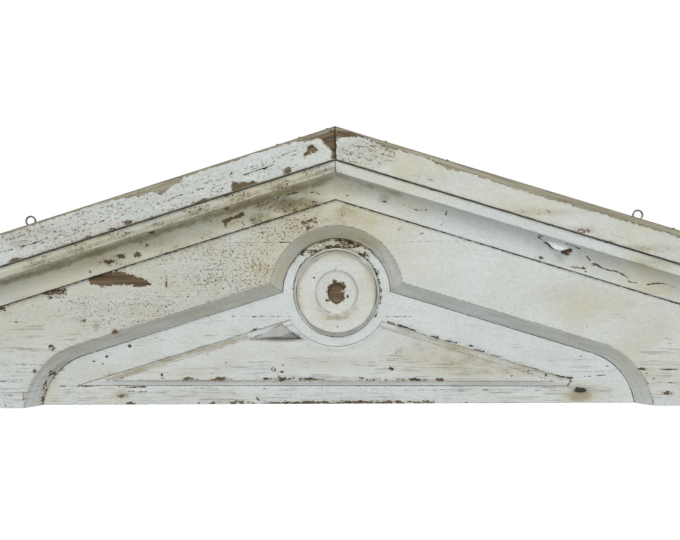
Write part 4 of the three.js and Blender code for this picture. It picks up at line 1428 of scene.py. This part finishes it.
# Nail heads along the cap's top edge, by where they show in the photograph
NAILS = (277.7, 300, 327.6, 387, 448.8, 676)
NAIL_HEAD_RADIUS = 2.6
NAIL_HEAD_HEIGHT = 1.5
NAIL_SET_BACK = 7

# The curled flake of paint in the right cove: its upper and lower edges in the photograph
FLAKE_TOP = ((547, 240.9), (555, 242.6), (564.3, 243.8), (568.9, 247.7))
FLAKE_FOOT = ((547.6, 241.8), (553, 249.2), (560, 250.4), (567.6, 248.6))
FLAKE_FRONT = FILLET_FRONT + 15 * MM
FLAKE_LIFT = 9
FLAKE_THICKNESS = 0.5


def rusty_iron():
    """Dark iron with rust on it."""
    material, tree = new_material("rusty iron")
    vector = tree.nodes.new("ShaderNodeTexCoord").outputs["Object"]
    rust = noise_value(tree, vector, (700, 700, 700), detail=4, roughness=0.65)
    colour = mixed(tree, ranged(tree, rust, 0.4, 0.6), srgb(48, 40, 34), srgb(104, 74, 50))
    rough = ranged(tree, rust, 0.3, 0.7, 0.6, 0.9)
    finish_material(tree, colour, rough, rust, 0.4, 0.8)
    return material


def flake_paint():
    """The clean white inside of the loose flake."""
    material, tree = new_material("flake paint")
    vector = tree.nodes.new("ShaderNodeTexCoord").outputs["Object"]
    mottle = noise_value(tree, vector, (300, 300, 300), detail=3, roughness=0.6)
    colour = mixed(tree, ranged(tree, mottle, 0.35, 0.65), srgb(244, 247, 248), srgb(216, 219, 216))
    rough = ranged(tree, mottle, 0.3, 0.7, 0.55, 0.75)
    finish_material(tree, colour, rough, mottle, 0.3, 0.6)
    return material


def small_piece(name, shape, material):
    """A finished small mesh that stands for no CAD node."""
    bmesh.ops.recalc_face_normals(shape, faces=shape.faces)
    new_piece(name, shape, material, sharp=40)


def nail_heads():
    """Low domed heads that lie along the cap's sloping top."""
    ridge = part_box("cap_left")[1].z / MM
    shape = bmesh.new()
    for pixel_x in NAILS:
        x = from_photo((pixel_x, PHOTO_HEIGHT / 2), CAP_FRONT)[0]
        head = bmesh.ops.create_uvsphere(shape, u_segments=14, v_segments=8, radius=1)["verts"]
        bmesh.ops.scale(shape, verts=head, vec=(NAIL_HEAD_RADIUS, NAIL_HEAD_RADIUS, NAIL_HEAD_HEIGHT))
        tilt = Matrix.Rotation(math.copysign(PITCH, x), 3, "Y")
        bmesh.ops.rotate(shape, verts=head, cent=(0, 0, 0), matrix=tilt)
        place = (x, CAP_FRONT / MM + NAIL_SET_BACK, ridge - SLOPE * abs(x))
        bmesh.ops.translate(shape, verts=head, vec=place)
    bmesh.ops.scale(shape, verts=shape.verts, vec=(MM, MM, MM))
    small_piece("nail_heads", shape, rusty_iron())


def along_path(points, share):
    """A place along a row of points, as a share of their number."""
    step = min(int(share * (len(points) - 1)), len(points) - 2)
    rest = share * (len(points) - 1) - step
    return [first + (second - first) * rest for first, second in zip(points[step], points[step + 1])]


def paint_flake():
    """A thin curl that has come away from the cove at its lower edge."""
    shape = bmesh.new()
    bmesh.ops.create_grid(shape, x_segments=18, y_segments=8, size=0.5)
    for vert in shape.verts:
        across, down = vert.co.x + 0.5, 0.5 - vert.co.y
        top, foot = along_path(FLAKE_TOP, across), along_path(FLAKE_FOOT, across)
        pixel = [start + (end - start) * down for start, end in zip(top, foot)]
        x, z = from_photo(pixel, FLAKE_FRONT)
        lift = FLAKE_LIFT * math.sin(math.pi * across) * down**1.5
        crinkle = 0.8 * noise.noise(Vector((x, z, 0)) / 5)
        vert.co = (x * MM, FLAKE_FRONT - (lift + crinkle) * MM, z * MM)
    bmesh.ops.solidify(shape, geom=shape.faces, thickness=FLAKE_THICKNESS * MM)
    small_piece("loose_paint_flake", shape, flake_paint())


nail_heads()
paint_flake()

SKY_ABOVE = 0.4
SKY_BELOW = 0.38


def area_light(name, place, size, power):
    """A white rectangle of light that faces the middle of the object."""
    data = bpy.data.lights.new(name, "AREA")
    data.shape = "RECTANGLE"
    data.size, data.size_y = size
    data.energy = power
    light = bpy.data.objects.new(name, data)
    light.location = place
    light.rotation_euler = (-Vector(place)).to_track_quat("-Z", "Y").to_euler()
    bpy.context.scene.collection.objects.link(light)


def split_by_ray(tree, lit, seen, output):
    """Shows one shader to the camera, and the other to all the rest of the light."""
    path = tree.nodes.new("ShaderNodeLightPath")
    both = new_node(tree, "ShaderNodeMixShader", {0: path.outputs["Is Camera Ray"], 1: lit, 2: seen})
    tree.links.new(both.outputs[0], tree.nodes.new(output).inputs["Surface"])


def world():
    """White behind the object, and a soft light that falls a little more from above than from below."""
    made = bpy.data.worlds.new("studio")
    made.use_nodes = True
    tree = made.node_tree
    tree.nodes.clear()
    seen = new_node(tree, "ShaderNodeBackground", {"Color": (1, 1, 1, 1), "Strength": 1.0})
    direction = tree.nodes.new("ShaderNodeTexCoord").outputs["Generated"]
    height = new_node(tree, "ShaderNodeSeparateXYZ", {0: direction}).outputs[2]
    strength = ranged(tree, height, -0.5, 0.5, SKY_BELOW, SKY_ABOVE)
    soft = new_node(tree, "ShaderNodeBackground", {"Color": (0.95, 0.98, 1, 1), "Strength": strength})
    split_by_ray(tree, soft.outputs[0], seen.outputs[0], "ShaderNodeOutputWorld")
    bpy.context.scene.world = made


def pale_floor():
    """A wide floor well below the object, which throws soft light up and shows white."""
    shape = bmesh.new()
    bmesh.ops.create_grid(shape, x_segments=1, y_segments=1, size=12)
    bmesh.ops.translate(shape, verts=shape.verts, vec=(0, 0, FEET - 0.6))
    mesh = bpy.data.meshes.new("floor")
    shape.to_mesh(mesh)
    shape.free()
    material, tree = new_material("pale floor")
    pale = new_node(tree, "ShaderNodeBsdfDiffuse", {"Color": (0.6, 0.6, 0.6, 1), "Roughness": 0.9})
    bright = new_node(tree, "ShaderNodeEmission", {"Color": (1, 1, 1, 1), "Strength": 0.82})
    seen = new_node(tree, "ShaderNodeAddShader", {0: pale.outputs[0], 1: bright.outputs[0]})
    split_by_ray(tree, pale.outputs[0], seen.outputs[0], "ShaderNodeOutputMaterial")
    mesh.materials.append(material)
    piece = bpy.data.objects.new("floor", mesh)
    bpy.context.scene.collection.objects.link(piece)


def camera():
    """The camera that took the photograph, at its place in the frame."""
    right, up, forward = camera_axes()
    data = bpy.data.cameras.new("camera")
    data.sensor_width = SENSOR_WIDTH
    data.lens = FOCAL_PIXELS * SENSOR_WIDTH / PHOTO_WIDTH
    made = bpy.data.objects.new("camera", data)
    turn = Matrix((right, up, -forward)).transposed().to_4x4()
    made.matrix_world = Matrix.Translation(CAMERA_PLACE) @ turn
    bpy.context.scene.collection.objects.link(made)
    bpy.context.scene.camera = made


camera()
world()
pale_floor()
area_light("key", (-0.75, -2.35, 1.85), (1.5, 1.1), 42)
area_light("fill", (1.2, -2.6, -0.4), (1.6, 1.0), 21)
bpy.context.scene.view_settings.view_transform = "Standard"
